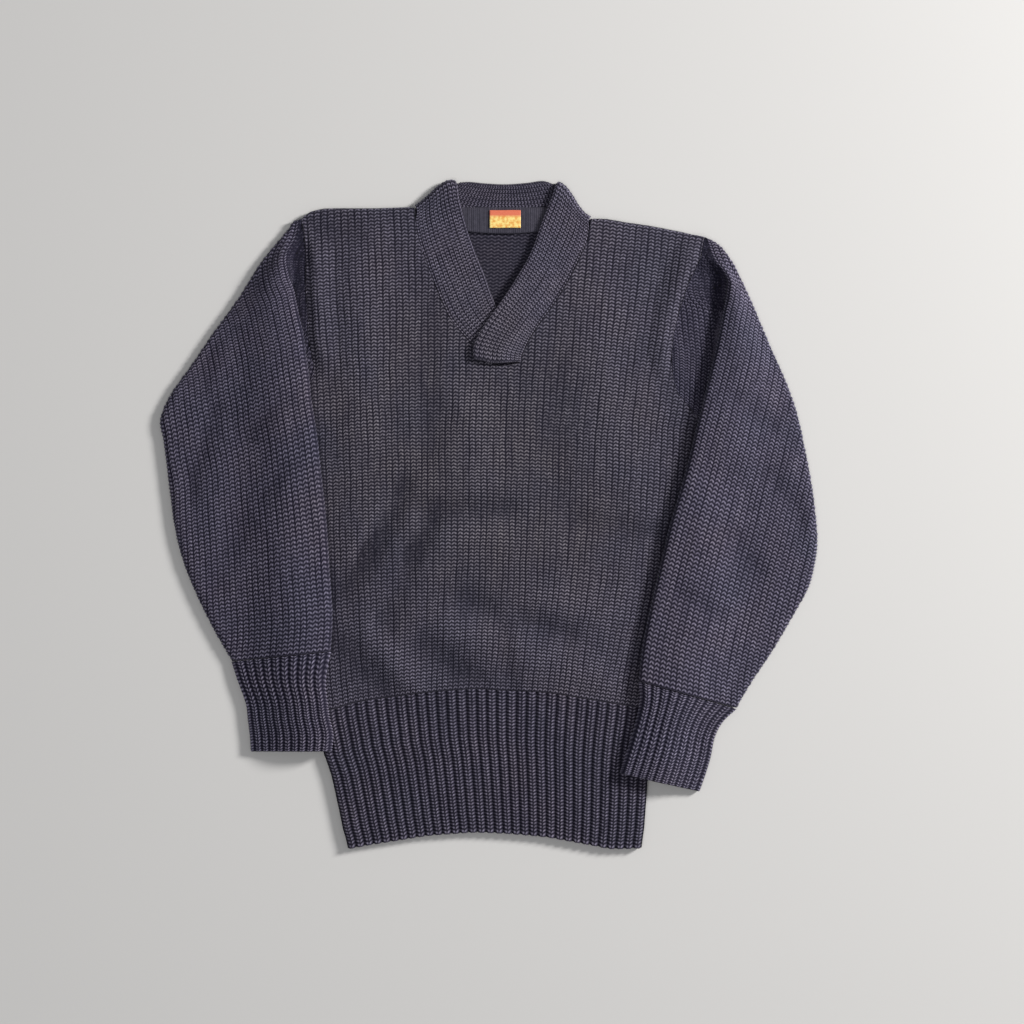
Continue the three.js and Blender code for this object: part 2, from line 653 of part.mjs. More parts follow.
// A point of the waistband, from its left side to its right and from its seam down to its hem.
function bandPoint(across, down) {
  const side = rowAt(bandSides, sideRow(down));
  const y = blend(heightAcross(bandTop, across), heightAcross(bandBottom, across), down);
  return { x: blend(side.left, side.right, across), y };
}

// Height of an edge of the waistband at a share of the way across it.
function heightAcross(edge, share) {
  const x = blend(edge[0].x, edge.at(-1).x, share);
  const i = clamp(edge.findIndex((row) => row.x >= x - 1e-6), 1, edge.length - 1);
  return rowAt(edge, i - 1 + (x - edge[i - 1].x) / (edge[i].x - edge[i - 1].x)).y;
}

function sideRow(down) {
  const i = clamp(bandSides.findIndex((row) => row.down >= down), 1, bandSides.length - 1);
  return i - 1 + (down - bandSides[i - 1].down) / (bandSides[i].down - bandSides[i - 1].down);
}

function bandAcross(share) {
  const rib = Math.min(Math.floor(share * bandRibs), bandRibs - 1);
  return { rib, within: share * bandRibs - rib };
}

function waistbandFrontGeometry() {
  const shares = [];
  for (let rib = 0; rib < bandRibs; rib++) {
    for (const within of [0, ribValley, 1 - ribValley]) shares.push((rib + within) / bandRibs);
  }
  shares.push(1);
  const rows = [0, 0.34, 0.68, 1].map((down) => {
    const row = { outer: [], inner: [] };
    for (const share of shares) {
      const { x, y } = bandPoint(share, down);
      const { within } = bandAcross(share);
      const atSide = share === 0 || share === 1;
      const crest = !atSide && within > 0.01 && within < 0.99 ? ribHeight : 0;
      row.outer.push(xyz(x, y, frontFloor + (atSide ? 1.2 : cloth + crest)));
      row.inner.push(xyz(x, y, frontFloor));
    }
    return row;
  });
  return wallGeometry(rows);
}

function waistbandBackGeometry() {
  const shares = Array.from({ length: bandRibs + 1 }, (_, i) => i / bandRibs);
  const rows = [0, 0.34, 0.68, 1].map((down) => {
    const row = { outer: [], inner: [] };
    shares.forEach((share, i) => {
      const { x, y } = bandPoint(share, down);
      const atSide = i === 0 || i === shares.length - 1;
      row.outer.push(xyz(x, y, cloth));
      row.inner.push(xyz(x, y, atSide ? 1.6 : 0));
    });
    return row;
  });
  return wallGeometry(rows);
}

// A station of the collar: points across its width, and how much of the upper lapel's climb it has.
const collarShares = [0, 0.14, 0.34, 0.6, 0.8, 1];
function collarStation(row, climbs) {
  return collarShares.map((share) => {
    const rise = climbs ? smooth(...lapelRise, share) : share;
    return xyz(blend(row.seamX, row.rimX, share), blend(row.seamY, row.rimY, share),
      blend(row.seamLift, row.rimLift, rise));
  });
}

// The fold at a shoulder, where the collar turns from the front over to the back.
function shoulderTurn(front, back, outX, outY) {
  return [0.25, 0.5, 0.75].map((f) => front.map((p, i) => {
    const radius = (p.z - back[i].z) / 2;
    const angle = Math.PI * f;
    const reach = radius * Math.sin(angle);
    return xyz(p.x + outX * reach, p.y + outY * reach, back[i].z + radius * (1 + Math.cos(angle)));
  }));
}

function collarGeometry() {
  const left = leftLapel.map((row) => collarStation(row, false));
  const back = collarBack.map((row) => collarStation(row, false));
  const right = rightLapel.map((row, i) => collarStation(row, i > 4));
  right.at(-1).forEach((p, i) => {
    p.y -= collarEndBulge * Math.sin(Math.PI * smooth(0.1, 1, collarShares[i]));
  });
  const stations = [
    ...left,
    ...shoulderTurn(left.at(-1), back[0], -0.5, 0.87),
    ...back,
    ...shoulderTurn(right[0], back.at(-1), 0.68, 0.73).reverse(),
    ...right,
  ];
  const rows = stations.map((points, j) => {
    const [before, after] = [stations[Math.max(j - 1, 0)], stations[Math.min(j + 1, stations.length - 1)]];
    const row = { outer: [], inner: [] };
    points.forEach((p, i) => {
      const along = after[i].clone().sub(before[i]);
      const width = points[Math.min(i + 1, points.length - 1)].clone().sub(points[Math.max(i - 1, 0)]);
      const out = width.cross(along).normalize();
      row.outer.push(p.clone().addScaledVector(out, collarCloth / 2));
      row.inner.push(p.clone().addScaledVector(out, -collarCloth / 2));
    });
    return row;
  });
  return wallGeometry(rows);
}

function tapeGeometry() {
  const middle = (tape.left + tape.right) / 2;
  const outline = new THREE.Shape();
  outline.moveTo(tape.left, tape.top);
  outline.lineTo(tape.left, tape.sideBottom);
  outline.quadraticCurveTo(middle, 2 * tape.middleBottom - tape.sideBottom, tape.right, tape.sideBottom);
  outline.lineTo(tape.right, tape.top);
  return new THREE.ExtrudeGeometry(outline, { depth: tapeCloth, bevelEnabled: false, curveSegments: 10 });
}

function labelGeometry() {
  const [w, h, r] = [label.width / 2, label.height / 2, label.corner];
  const outline = new THREE.Shape();
  outline.moveTo(-w + r, -h);
  outline.lineTo(w - r, -h);
  outline.quadraticCurveTo(w, -h, w, -h + r);
  outline.lineTo(w, h - r);
  outline.quadraticCurveTo(w, h, w - r, h);
  outline.lineTo(-w + r, h);
  outline.quadraticCurveTo(-w, h, -w, h - r);
  outline.lineTo(-w, -h + r);
  outline.quadraticCurveTo(-w, -h, -w + r, -h);
  return new THREE.ExtrudeGeometry(outline, { depth: labelCloth, bevelEnabled: false, curveSegments: 2 });
}

const sweater = new THREE.Group();

function add(name, geometry, material, x = 0, y = 0, z = 0) {
  if (!geometry.attributes.normal) geometry.computeVertexNormals();
  const mesh = new THREE.Mesh(geometry, material);
  mesh.name = name;
  mesh.position.set(x, y, z);
  sweater.add(mesh);
}

add('front', frontGeometry(), wool);
add('back', backGeometry(), wool);
add('waistband_front', waistbandFrontGeometry(), ribbedWool);
add('waistband_back', waistbandBackGeometry(), ribbedWool);
add('sleeve_right', sleeveGeometry(sleeveRight), wool);
add('sleeve_left', sleeveGeometry(sleeveLeft), wool);
add('cuff_right', cuffGeometry(cuffRight), ribbedWool);
add('cuff_left', cuffGeometry(cuffLeft), ribbedWool);
add('collar', collarGeometry(), ribbedWool);
add('neck_tape', tapeGeometry(), tapeWool, 0, 0, tape.floor);
add('label', labelGeometry(), labelWeave, label.x, label.y, label.floor);

export default sweater;
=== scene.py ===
"""Heavy wool pullover with a crossed shawl collar, laid flat on a pale floor and seen from above."""
import math

import bpy
import numpy as np
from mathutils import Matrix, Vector


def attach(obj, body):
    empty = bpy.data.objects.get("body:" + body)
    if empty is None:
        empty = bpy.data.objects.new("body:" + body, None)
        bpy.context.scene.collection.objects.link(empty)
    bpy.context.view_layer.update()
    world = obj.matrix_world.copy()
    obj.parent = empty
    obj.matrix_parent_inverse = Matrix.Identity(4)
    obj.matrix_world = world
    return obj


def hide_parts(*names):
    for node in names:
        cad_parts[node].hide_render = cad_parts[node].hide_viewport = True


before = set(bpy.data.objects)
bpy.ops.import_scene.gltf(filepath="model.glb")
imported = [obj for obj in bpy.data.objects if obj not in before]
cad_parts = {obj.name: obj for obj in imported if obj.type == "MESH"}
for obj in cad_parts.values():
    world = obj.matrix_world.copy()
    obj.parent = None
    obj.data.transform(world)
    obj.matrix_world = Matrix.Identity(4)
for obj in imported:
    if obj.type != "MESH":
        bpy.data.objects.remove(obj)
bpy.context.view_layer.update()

MM = 0.001

# Cloth, in millimetres
CLOTH = 3.0
COLLAR_CLOTH = 3.5
SEAM_GAP = 0.4
KNIT_GAP = 0.15  # where one cloth is knitted on to another
FRONT_FLOOR = 3.4
FRONT_WALL = FRONT_FLOOR + CLOTH / 2
FLOOR_WALL = CLOTH / 2
OVER_BODY = 9.1
INNER_FOLD = 3.0
OUTER_FOLD = 1.75
FOLD_TOP = OVER_BODY + 2 * INNER_FOLD
OUTER_FOLD_TOP = FLOOR_WALL + 2 * OUTER_FOLD
INNER_REACH = CLOTH / 2 + INNER_FOLD
OUTER_REACH = CLOTH / 2 + OUTER_FOLD
RESTING_LIFT = 1.6
MOST_LIFT = 3.4

# Soft ridge of the front beside the armholes: its lift, and where along y it rises and fades
RIDGE_LIFT = 3.4
RIDGE_RISES = (128, 172)
RIDGE_FADES = (265, 300)

# Rounded edges: how far in from the edge they begin and how far they drop
EDGE_ROUND = 3.4
EDGE_DROP = 2.3
BAND_EDGE_ROUND = 4
BAND_EDGE_DROP = 2.6
COLLAR_RIM_ROUND = 1.9
SEAM_DIP = 0.3
SEAM_SOFT = 1.2  # distance from a seam at which its stitches are full again
LEAST_HEIGHT = 0.65  # of the outer face of sleeves and cuffs over the floor
COLLAR_LEAST_HEIGHT = 0.8

# The front reaches a little further out at the left underarm, between these places
UNDERARM_REACH = 1.2
UNDERARM_ACROSS = (190, 216)
UNDERARM_RISES = (70, 84)
UNDERARM_FADES = (104, 118)

# Knitting, in millimetres
LEAN = 0.5  # share of a course that a stitch's leg climbs
BODY_WALES = 66
BODY_COURSES = 142
BODY_COURSE = 3.65
SLEEVE_WALE = 6.2
SLEEVE_COURSE = 4.2
BAND_RIBS = 34
BAND_RIB_PITCH = 9.65
BAND_COURSES = 44
CUFF_RIBS = 22
CUFF_COURSES = 29
COLLAR_WALES = 11
COLLAR_WALE = 4.2
COLLAR_COURSE = 3.5
TAPE_RIBS = 44
WAIST_Y = -184.4
ARCH = 0.00038  # how far the courses of the body sink to the sides, per square millimetre
ARCH_X = -30

# Places of lattice columns across a stitch and a rib, and of a rib's columns within its stitch
STITCH_COLUMNS = (0, 0.25, 0.5, 0.75)
RIB_COLUMNS = (0, 0.16, 0.32, 0.5, 0.68, 0.84)
RIB_PHASES = (0, 0.12, 0.25, 0.5, 0.75, 0.88)

# Sections across a sleeve: turns of its folds, points of its upper wall, points per gap when
# refined, and the number of the point at the edge of its inner fold
FOLD_TURN = np.radians([-90, -50, 0, 50, 90])
UPPER_POINTS = 8
FINE = 8
INNER_FOLD_POINT = 7

# Past the body's side: where a sleeve's underside leaves the body, where it reaches the floor and
# where its two edges meet
STEP_FROM = 1
STEP_TO = 17
EDGES_MEET = 21

# Past the body's side: a cuff's upper side sinks from the first to its outer fold, and at least as
# far as the second
CUFF_SINKS = (3, 41)


def table(columns, *rows):
    """A table as one array for each named column."""
    return dict(zip(columns.split(), np.array(rows, float).T))


BODY_SIDES = table(
    "y left right",
    (-204, -182.5, 177), (-175, -186, 183), (-143, -189, 190), (-107, -192, 198), (-70, -195, 205),
    (-18, -197, 210), (36, -198, 213), (88, -200, 216), (300, -215, 250), (340, -218, 256),
)
SIDE_ROWS = 8  # of the table above: those below the armholes
BAND_TOP = table(
    "x y",
    (-182, -205), (-165, -205.5), (-143, -199), (-122, -195), (-99, -192), (-68, -188), (-32, -185),
    (-14, -184), (23, -186), (61, -188), (99, -194), (136, -200), (156, -203), (177, -205.5),
)
BAND_BOTTOM = table(
    "x y",
    (-148, -350.5), (-122, -346), (-93, -341.5), (-65, -337), (-32, -334.5), (-14, -333.5),
    (23, -335), (61, -338.5), (89, -343.5), (108, -347), (127, -350.5), (160, -350),
)
BAND_SIDES = table(
    "down left right",
    (0, -182, 177), (0.33, -172.5, 169.5), (0.48, -165, 166.5), (0.68, -158.5, 164.5),
    (0.86, -153, 162.5), (1, -148, 160),
)
SHOULDERS = table(
    "left_x left_y right_x right_y",
    (-88, 321, 122, 309), (-114, 320, 145, 305), (-143, 320, 173, 301), (-172, 320, 197, 296),
    (-186, 317.5, 213, 292.5),
)
SHOULDER_ENDS = ((-196.6, 309), (225.6, 290))
NECK_POINT = [(8, 154), (32.7, 157.5)]  # corners of the front's neck edge under the upper lapel

# Sleeves, from the shoulder to the cuff: armhole seam, inner fold and outer edge. fold 0 is no
# inner fold, 1 a step and 2 a pleat. under is how far the sleeve lies on the body.
SLEEVE_COLUMNS = "seam_x seam_y fold_x fold_y edge_x edge_y fold pleat under tube puff"
SLEEVE_RIGHT = table(
    SLEEVE_COLUMNS,
    (-197, 309, -200, 307, -205, 307, 0, 0, 0, 0, 0),
    (-195, 297, -209, 295, -213, 296, 0, 0, 0, 0, 0),
    (-193, 284, -214, 284, -224, 283, 0.15, 0, 0, 0, 0.5),
    (-192, 268, -211, 268, -242, 260, 0.8, 0, 0, 0, 1.5),
    (-192, 250, -207, 250, -264, 225, 1.3, 2, 0, 0, 2.5),
    (-192, 232, -203, 232, -288, 192, 2, 7, 0, 0, 3),
    (-190, 208, -198, 208, -314, 154, 2, 10, 0, 0, 3.4),
    (-190, 186, -193, 186, -333, 127, 2, 13, 2, 0, 3.4),
    (-185, 163, -190, 163, -345, 100, 2, 17, 6, 0, 3.4),
    (-184, 141, -187, 141, -342, 77, 2, 22, 11, 0, 3.4),
    (-198, 119, -185, 119, -339, 54, 2, 26, 15, 0, 3.4),
    (-200, 88, -180, 88, -335, 22, 2, 26, 22, 1, 3.4),
    (-198, 36, -174, 36, -330, -15, 2, 26, 26, 1, 3.4),
    (-197, -12, -169, -12, -321, -51, 2, 26, 29, 1, 3.4),
    (-195, -61, -166, -61, -306, -88, 2, 26, 30, 1, 3.2),
    (-192, -107, -163, -107, -288, -124, 2, 26, 29, 1, 2.8),
    (-189, -144, -165, -144, -270, -155, 2, 26, 25, 1, 2.2),
)
SLEEVE_LEFT = table(
    SLEEVE_COLUMNS,
    (226, 290, 229, 288, 234, 287, 0, 0, 0, 0, 0),
    (224, 280, 240, 280, 245, 279, 0, 0, 0, 0, 0),
    (222, 268, 249, 266, 257, 262, 0.15, 0, 0, 0, 0.5),
    (216, 256, 250, 250, 267, 242, 0.8, 0, 0, 0, 1),
    (208, 238, 248, 233, 280, 213, 1.3, 2, 0, 0, 2),
    (202, 220, 245, 213, 295, 177, 2, 8, 0, 0, 2.8),
    (195, 195, 240, 187, 311, 141, 2, 12, 0, 0, 3.4),
    (192, 172, 234, 161, 324, 104, 2, 16, 0, 0, 3.4),
    (192, 153, 228, 136, 332, 68, 2, 18, 0, 0, 3.4),
    (197, 128, 222, 111, 338, 37, 2, 20, 0, 0, 3.4),
    (215, 103, 216, 88, 342, 9, 2, 20, 2, 0, 3.4),
    (216, 76, 209, 59, 345, -26, 2, 24, 8, 1, 3.4),
    (213, 35, 200, 26, 342, -53, 2, 26, 17, 1, 3.4),
    (211, -2, 190, -7, 335, -79, 2, 26, 26, 1, 3.4),
    (208, -38, 181, -44, 318, -110, 2, 26, 33, 1, 3.2),
    (203, -82, 171, -87, 298, -144, 2, 26, 37, 1, 3),
    (192, -133, 161, -134, 276, -177, 2, 26, 36, 1, 2.6),
    (184, -175, 156, -175, 260, -204, 2, 26, 31, 1, 2.2),
)
ARMHOLE_ROWS = 10

CUFF_COLUMNS = "fold_x fold_y edge_x edge_y under"
CUFF_RIGHT = table(
    CUFF_COLUMNS,
    (-165, -144.6, -270, -155.6, 25),
    (-170.5, -173, -264, -175, 18),
    (-169, -196, -255.5, -199, 16),
    (-167, -213, -253, -217, 15),
    (-163, -231, -251, -233, 15),
    (-164.5, -248.5, -250, -249.5, 12),
)
CUFF_LEFT = table(
    CUFF_COLUMNS,
    (156, -175.6, 259.7, -205, 31),
    (158, -194, 245.5, -219, 26),
    (154.5, -214, 237, -235, 25),
    (147, -240, 233, -255, 29),
    (140, -262, 228, -272, 34),
    (137, -271.5, 221, -291.5, 36),
)

# Collar: seam is its sewn edge and rim its free edge, lift the height of the middle of its cloth
COLLAR_COLUMNS = "seam_x seam_y rim_x rim_y seam_lift rim_lift"
LEFT_LAPEL = table(
    COLLAR_COLUMNS,
    (8, 158, 21, 178, 5.15, 5.15),
    (-4, 167, 18, 193, 5.15, 5.15),
    (-17, 178, 14, 206, 5.15, 5.2),
    (-28, 189, 8, 217, 5.15, 5.4),
    (-40, 204, 2, 231, 5.15, 5.6),
    (-48, 220, -3, 246, 5.15, 6),
    (-57, 242, -12, 268, 5.2, 6.6),
    (-66, 266, -20, 289, 5.3, 7),
    (-73, 287, -26, 309, 5.5, 7),
    (-76.5, 308, -31, 330, 5.6, 7.2),
    (-76, 320.4, -34, 347, 5.6, 5.7),
)
COLLAR_BACK = table(
    COLLAR_COLUMNS,
    (-76, 320.4, -34, 347, 1.75, 1.75),
    (-54, 312, -23, 348, 1.75, 1.75),
    (-25, 305.5, -5, 346.5, 1.75, 1.75),
    (16, 302.5, 17, 345.5, 1.75, 1.75),
    (56, 303.5, 40, 347, 1.75, 1.75),
    (86, 307.5, 57, 349, 1.75, 1.75),
    (105.2, 309.2, 71, 346.5, 1.75, 1.75),
)
RIGHT_LAPEL = table(
    COLLAR_COLUMNS,
    (105.2, 309.2, 71, 346.5, 5.6, 5.7),
    (105, 297, 65.5, 332, 5.6, 7.2),
    (101, 281, 59.5, 317, 5.5, 7),
    (94, 266, 53, 300, 5.3, 7),
    (86, 250, 47, 282, 5.2, 7),
    (77, 234, 39, 265, 5.15, 7.2),
    (66, 217, 29, 248, 5.15, 8),
    (54, 201, 19, 232, 5.15, 8.8),
    (44, 186, 5, 212, 5.15, 9.2),
    (37, 173, -10, 190, 5.15, 9.4),
    (33.5, 164, -17, 173, 5.15, 9.5),
    (33.5, 158.5, -16.5, 161.5, 5.15, 9.5),
)
COLLAR_SHARES = np.array([0, 0.14, 0.34, 0.6, 0.8, 1])
COLLAR_FINE = (12, 6)  # points per gap when refined, along it and across it
COLLAR_END_BULGE = 3
COLLAR_CURVE = 6.5  # how far the shoulder fold of the collar curves off a straight line
CLIMB_FROM = 5  # first row of the upper lapel that climbs over the lower one

TAPE = {"left": -33, "right": 64, "top": 321, "side_bottom": 297, "middle_bottom": 293.5, "floor": 3.9,
        "thick": 1.0}
LABEL = {"x": 17, "y": 308.5, "width": 32.5, "height": 18.5, "floor": 5.2, "thick": 0.9}
LABEL_BAND = (1.8, 4.6)  # edge of its red band, over the middle of the label
LABEL_RED = (0.72, 0.17, 0.09)
LABEL_GOLDS = {0.35: (0.78, 0.36, 0.07), 0.62: (0.96, 0.76, 0.26)}

# Back inside, where its upper layer shows through the neck and keeps all its rows and columns
OPEN_ROW = 180
OPEN_COLUMNS = (64, 204)

# Wool: colours of the crests and painted shade of the grooves between them. Sleeve, ribbed and cuff wool
# are paler copies of the body's one wool, painted lighter on those pieces.
WOOLS = {
    "plain knit wool": ((0.222, 0.203, 0.272), (0.003, 0.002, 0.010)),
    "sleeve wool": ((0.246, 0.223, 0.318), (0.003, 0.002, 0.012)),
    "ribbed wool": ((0.262, 0.237, 0.328), (0.003, 0.002, 0.010)),
    "cuff wool": ((0.315, 0.287, 0.400), (0.004, 0.003, 0.014)),
    "fine knit tape": ((0.066, 0.061, 0.084), (0.010, 0.009, 0.018)),
}
YARN_PLIES = 4.0
HEATHER = 0.45  # how far the tone of the stitches varies, and how strong the painted shade of the fold mark is
# Power that sets how fast the painted shade darkens toward the grooves
GROOVE_SHADE_POWER = 1.95
WORN_TINT = (1.03, 1.03, 0.86)
WORN_PLACE = (-0.01, 0.06, 0.0)  # middle of the worn part of the chest, in metres
WORN_REACH = (0.06, 0.26)
WORN_MOST = 0.7

# Floor in millimetres, camera in metres
FLOOR_REACH = 4000.0
FLOOR_HEIGHT = -0.6
FLOOR_COLOUR = (0.62, 0.61, 0.60, 1)
PICTURE_WIDTH = 1.0752  # metres of the floor across the picture
PICTURE_CENTRE = (0.02415, 0.0016)
CAMERA_HEIGHT = 3.2

# Soft folds of the front. depth under 0 is a ridge.
FOLD_COLUMNS = "x1 y1 x2 y2 width depth"
FRONT_FOLDS = table(
    FOLD_COLUMNS,
    (-93, 24, -125, -38, 13, 2.2),
    (-125, -38, -150, -78, 12, 2.2),
    (-62, -12, -82, -40, 12, 2.0),
    (-82, -40, -110, -115, 13, 2.0),
    (-70, 6, 14, 6, 11, 1.6),
    (-24, -88, -6, -96, 14, 1.6),
    (40, -110, 82, -124, 12, 1.6),
    (-64, -140, -16, -172, 14, 1.8),
    (14, -120, 23, -188, 10, 1.4),
    (92, -6, 172, -18, 13, 1.4),
    (-152, -140, -104, -192, 15, 2.0),
    (-62, 220, -60, 60, 16, 1.0),
    (70, 150, 72, 20, 18, 0.8),
    (-170, 300, -150, 296, 16, 1.4),
    (-108, 12, -146, -44, 11, -1.3),
    (-80, -8, -104, -88, 12, -1.3),
    (-46, -24, 6, -22, 15, -1.1),
    (-40, -118, 24, -138, 16, -1.2),
    (62, -92, 118, -98, 18, -1.0),
    (-120, -128, -76, -180, 14, -1.4),
    (-14, 120, -10, 40, 22, -0.8),
    (120, 220, 130, 60, 24, -0.8),
    (-130, 240, -126, 90, 22, -0.8),
    (60, -150, 120, -170, 20, -1.0),
)
# Soft creases of the back, on the side that lies on the floor
BACK_FOLDS = table(
    FOLD_COLUMNS,
    (-120, 210, -70, 60, 14, 1.2),
    (90, 190, 120, 20, 16, 1.1),
    (-140, -40, -60, -120, 13, 1.3),
    (20, 90, 40, -60, 15, 1.0),
    (60, -110, 130, -165, 12, 1.2),
    (-30, 250, 10, 160, 12, 0.9),
)
# Soft folds on the upper sides of the sleeves
SLEEVE_FOLDS = table(
    FOLD_COLUMNS,
    (-288, 108, -314, 20, 11, 1.6),
    (-219, 114, -252, 82, 9, 1.5),
    (-214, 46, -236, 18, 9, 1.4),
    (-290, 170, -300, 130, 12, 1.0),
    (-262, -20, -282, -70, 13, 1.1),
    (295, 40, 327, -2, 12, 1.4),
    (262, 120, 290, 96, 12, 1.2),
    (252, -20, 282, -60, 12, 1.2),
    (205, -86, 236, -104, 10, 1.2),
)


def smooth(low, high, value):
    """0 at low, 1 at high and a soft step between them."""
    f = np.clip((value - low) / (high - low), 0, 1)
    return f * f * (3 - 2 * f)


def blend(a, b, f):
    return a + (b - a) * f


def along(rows, places):
    """The columns of a table at places between its rows, on a smooth curve through all rows."""
    places = np.asarray(places, float)
    last = len(next(iter(rows.values()))) - 1
    i = np.clip(places.astype(int), 0, last - 1)
    f = places - i

    def curve(column):
        a, b, c, d = (column[np.clip(i + k, 0, last)] for k in (-1, 0, 1, 2))
        return b + f / 2 * (c - a + f * (2 * a - 5 * b + 4 * c - d + f * (3 * (b - c) + d - a)))

    return {name: curve(column) for name, column in rows.items()}


def refine(lines, per_gap):
    """More points on a smooth curve through lines of points, an array of lines x points x 3."""
    gap = np.linalg.norm(np.diff(lines, axis=1), axis=2, keepdims=True) + 1e-6
    slope = np.diff(lines, axis=1) / gap
    inner = (slope[:, :-1] * gap[:, 1:] + slope[:, 1:] * gap[:, :-1]) / (gap[:, 1:] + gap[:, :-1])
    tangent = np.concatenate([slope[:, :1], inner, slope[:, -1:]], axis=1)
    pieces = []
    for step in range(per_gap):
        s = step / per_gap
        pieces.append((2 * s**3 - 3 * s**2 + 1) * lines[:, :-1] + (3 * s**2 - 2 * s**3) * lines[:, 1:]
                      + gap * ((s**3 - 2 * s**2 + s) * tangent[:, :-1] + (s**3 - s**2) * tangent[:, 1:]))
    dense = np.stack(pieces, axis=2).reshape(len(lines), -1, 3)
    return np.concatenate([dense, lines[:, -1:]], axis=1)


def arc_lengths(lines):
    steps = np.linalg.norm(np.diff(lines, axis=1), axis=2)
    return np.concatenate([np.zeros((len(lines), 1)), np.cumsum(steps, axis=1)], axis=1)


def sample(lines, arc, reach):
    """Values of lines of points at places reach along each line, whose points lie at arc."""
    taken = [[np.interp(places, known, column) for column in line.T]
             for line, known, places in zip(lines, arc, reach)]
    return np.array(taken).transpose(0, 2, 1)


def way_out(across, lengthways):
    """Unit directions out of a cloth, from its directions across and lengthways."""
    out = np.cross(across, lengthways)
    return out / np.linalg.norm(out, axis=2, keepdims=True)


def fold_depth(folds, x, y):
    """Height that a list of folds takes off at points: a soft trough round each fold's line."""
    depth = np.zeros(np.shape(x))
    for x1, y1, x2, y2, width, deep in zip(*folds.values()):
        dx, dy = x2 - x1, y2 - y1
        length = math.hypot(dx, dy)
        ahead = ((x - x1) * dx + (y - y1) * dy) / length
        aside = ((x - x1) * dy - (y - y1) * dx) / length
        beyond = np.maximum(0, np.maximum(-ahead, ahead - length))
        depth += deep * np.exp(-((aside / width) ** 2) - (beyond / (1.3 * width)) ** 2)
    return depth


def layer(x, y, height):
    """Points of a cloth's face over places x and y."""
    return np.stack(np.broadcast_arrays(x, y, height), -1)


def distance_to(path, x, y):
    """Distance of points from a line through (x, y) corners."""
    nearest = np.full(np.shape(x), np.inf)
    for (x1, y1), (x2, y2) in zip(path[:-1], path[1:]):
        dx, dy = x2 - x1, y2 - y1
        f = np.clip(((x - x1) * dx + (y - y1) * dy) / (dx * dx + dy * dy), 0, 1)
        nearest = np.minimum(nearest, np.hypot(x - x1 - f * dx, y - y1 - f * dy))
    return nearest


# Lattices and shells

def lattice_columns(wales, shares=STITCH_COLUMNS, first=0):
    """Column positions across a cloth, in wales."""
    cells = first + np.arange(wales)[:, None] + np.array(shares)[None, :]
    return np.append(cells.ravel(), first + wales)


def lattice_courses(columns, courses):
    """Course value of each lattice point: its rows climb the legs of the stitches."""
    leg = np.abs(2 * (columns % 1) - 1)
    rows = np.arange(-1, 2 * courses + 1) / 2
    return np.clip(rows[:, None] + LEAN * leg[None, :], 0, courses)


def every(count, step):
    return np.unique(np.append(np.arange(0, count, step), count - 1))


def thinned(lattice, row_step=1, column_step=1):
    """Rows and columns of a lattice that one layer of a shell uses."""
    return every(lattice.shape[0], row_step), every(lattice.shape[1], column_step)


def stitch_marks(wale, course, hold, inner_hold=0.0, **others):
    """Values that the points of a shell carry, on its outer and on its inner layer."""
    return {"wale": (wale, wale), "course": (course, course), "hold": (hold, inner_hold), **others}


def bridge(upper, lower, upper_at, lower_at):
    """Triangles between two lines of points that lie at known steps along one edge."""
    faces = []
    i = j = 0
    while i < len(upper) - 1 or j < len(lower) - 1:
        if j == len(lower) - 1 or (i < len(upper) - 1 and upper_at[i + 1] <= lower_at[j + 1]):
            faces.append((upper[i], upper[i + 1], lower[j]))
            i += 1
        else:
            faces.append((upper[i], lower[j + 1], lower[j]))
            j += 1
    return faces


def grid_faces(numbers):
    """Quads of a grid of vertex numbers."""
    corners = numbers[:-1, :-1], numbers[:-1, 1:], numbers[1:, 1:], numbers[1:, :-1]
    return np.stack(corners, -1).reshape(-1, 4)


def weld(points, faces):
    """Merge points that coincide and drop the faces that this empties."""
    keys = np.round(points * 1e4).astype(np.int64)
    _, kept, numbers = np.unique(keys, axis=0, return_index=True, return_inverse=True)
    numbers = numbers.ravel()
    clean = []
    for face in faces:
        corners = list(dict.fromkeys(int(numbers[k]) for k in face))
        if len(corners) > 2:
            clean.append(corners)
    return kept, clean


def shell(name, outer, inner, marks, outer_picks, inner_picks, wrap=False):
    """A closed wall between two layers of one lattice. Each layer uses its own rows and columns."""
    points, layers = [], []
    count = 0
    for lattice, (rows, columns) in ((outer, outer_picks), (inner, inner_picks)):
        taken = lattice[np.ix_(rows, columns)]
        numbers = count + np.arange(taken.shape[0] * taken.shape[1]).reshape(taken.shape[:2])
        count += numbers.size
        points.append(taken.reshape(-1, 3))
        if wrap:
            numbers = np.concatenate([numbers, numbers[:, :1]], axis=1)
            columns = np.append(columns, outer.shape[1])
        layers.append((numbers, rows, columns))
    (top, top_rows, top_columns), (low, low_rows, low_columns) = layers
    faces = [tuple(face) for face in grid_faces(top)] + [tuple(face[::-1]) for face in grid_faces(low)]
    faces += bridge(top[-1], low[-1], top_columns, low_columns)
    faces += [face[::-1] for face in bridge(top[0], low[0], top_columns, low_columns)]
    if not wrap:
        faces += bridge(top[:, 0], low[:, 0], top_rows, low_rows)
        faces += [face[::-1] for face in bridge(top[:, -1], low[:, -1], top_rows, low_rows)]
    points = np.concatenate(points)
    kept, faces = weld(points, faces)
    piece = mesh_object(name, points[kept], faces)
    for mark, (on_outer, on_inner) in marks.items():
        values = np.concatenate([
            np.broadcast_to(on_outer, outer.shape[:2])[np.ix_(*outer_picks)].ravel(),
            np.broadcast_to(on_inner, inner.shape[:2])[np.ix_(*inner_picks)].ravel()])
        attribute = piece.data.attributes.new(mark, "FLOAT", "POINT")
        attribute.data.foreach_set("value", values[kept].astype(np.float32))
    return piece


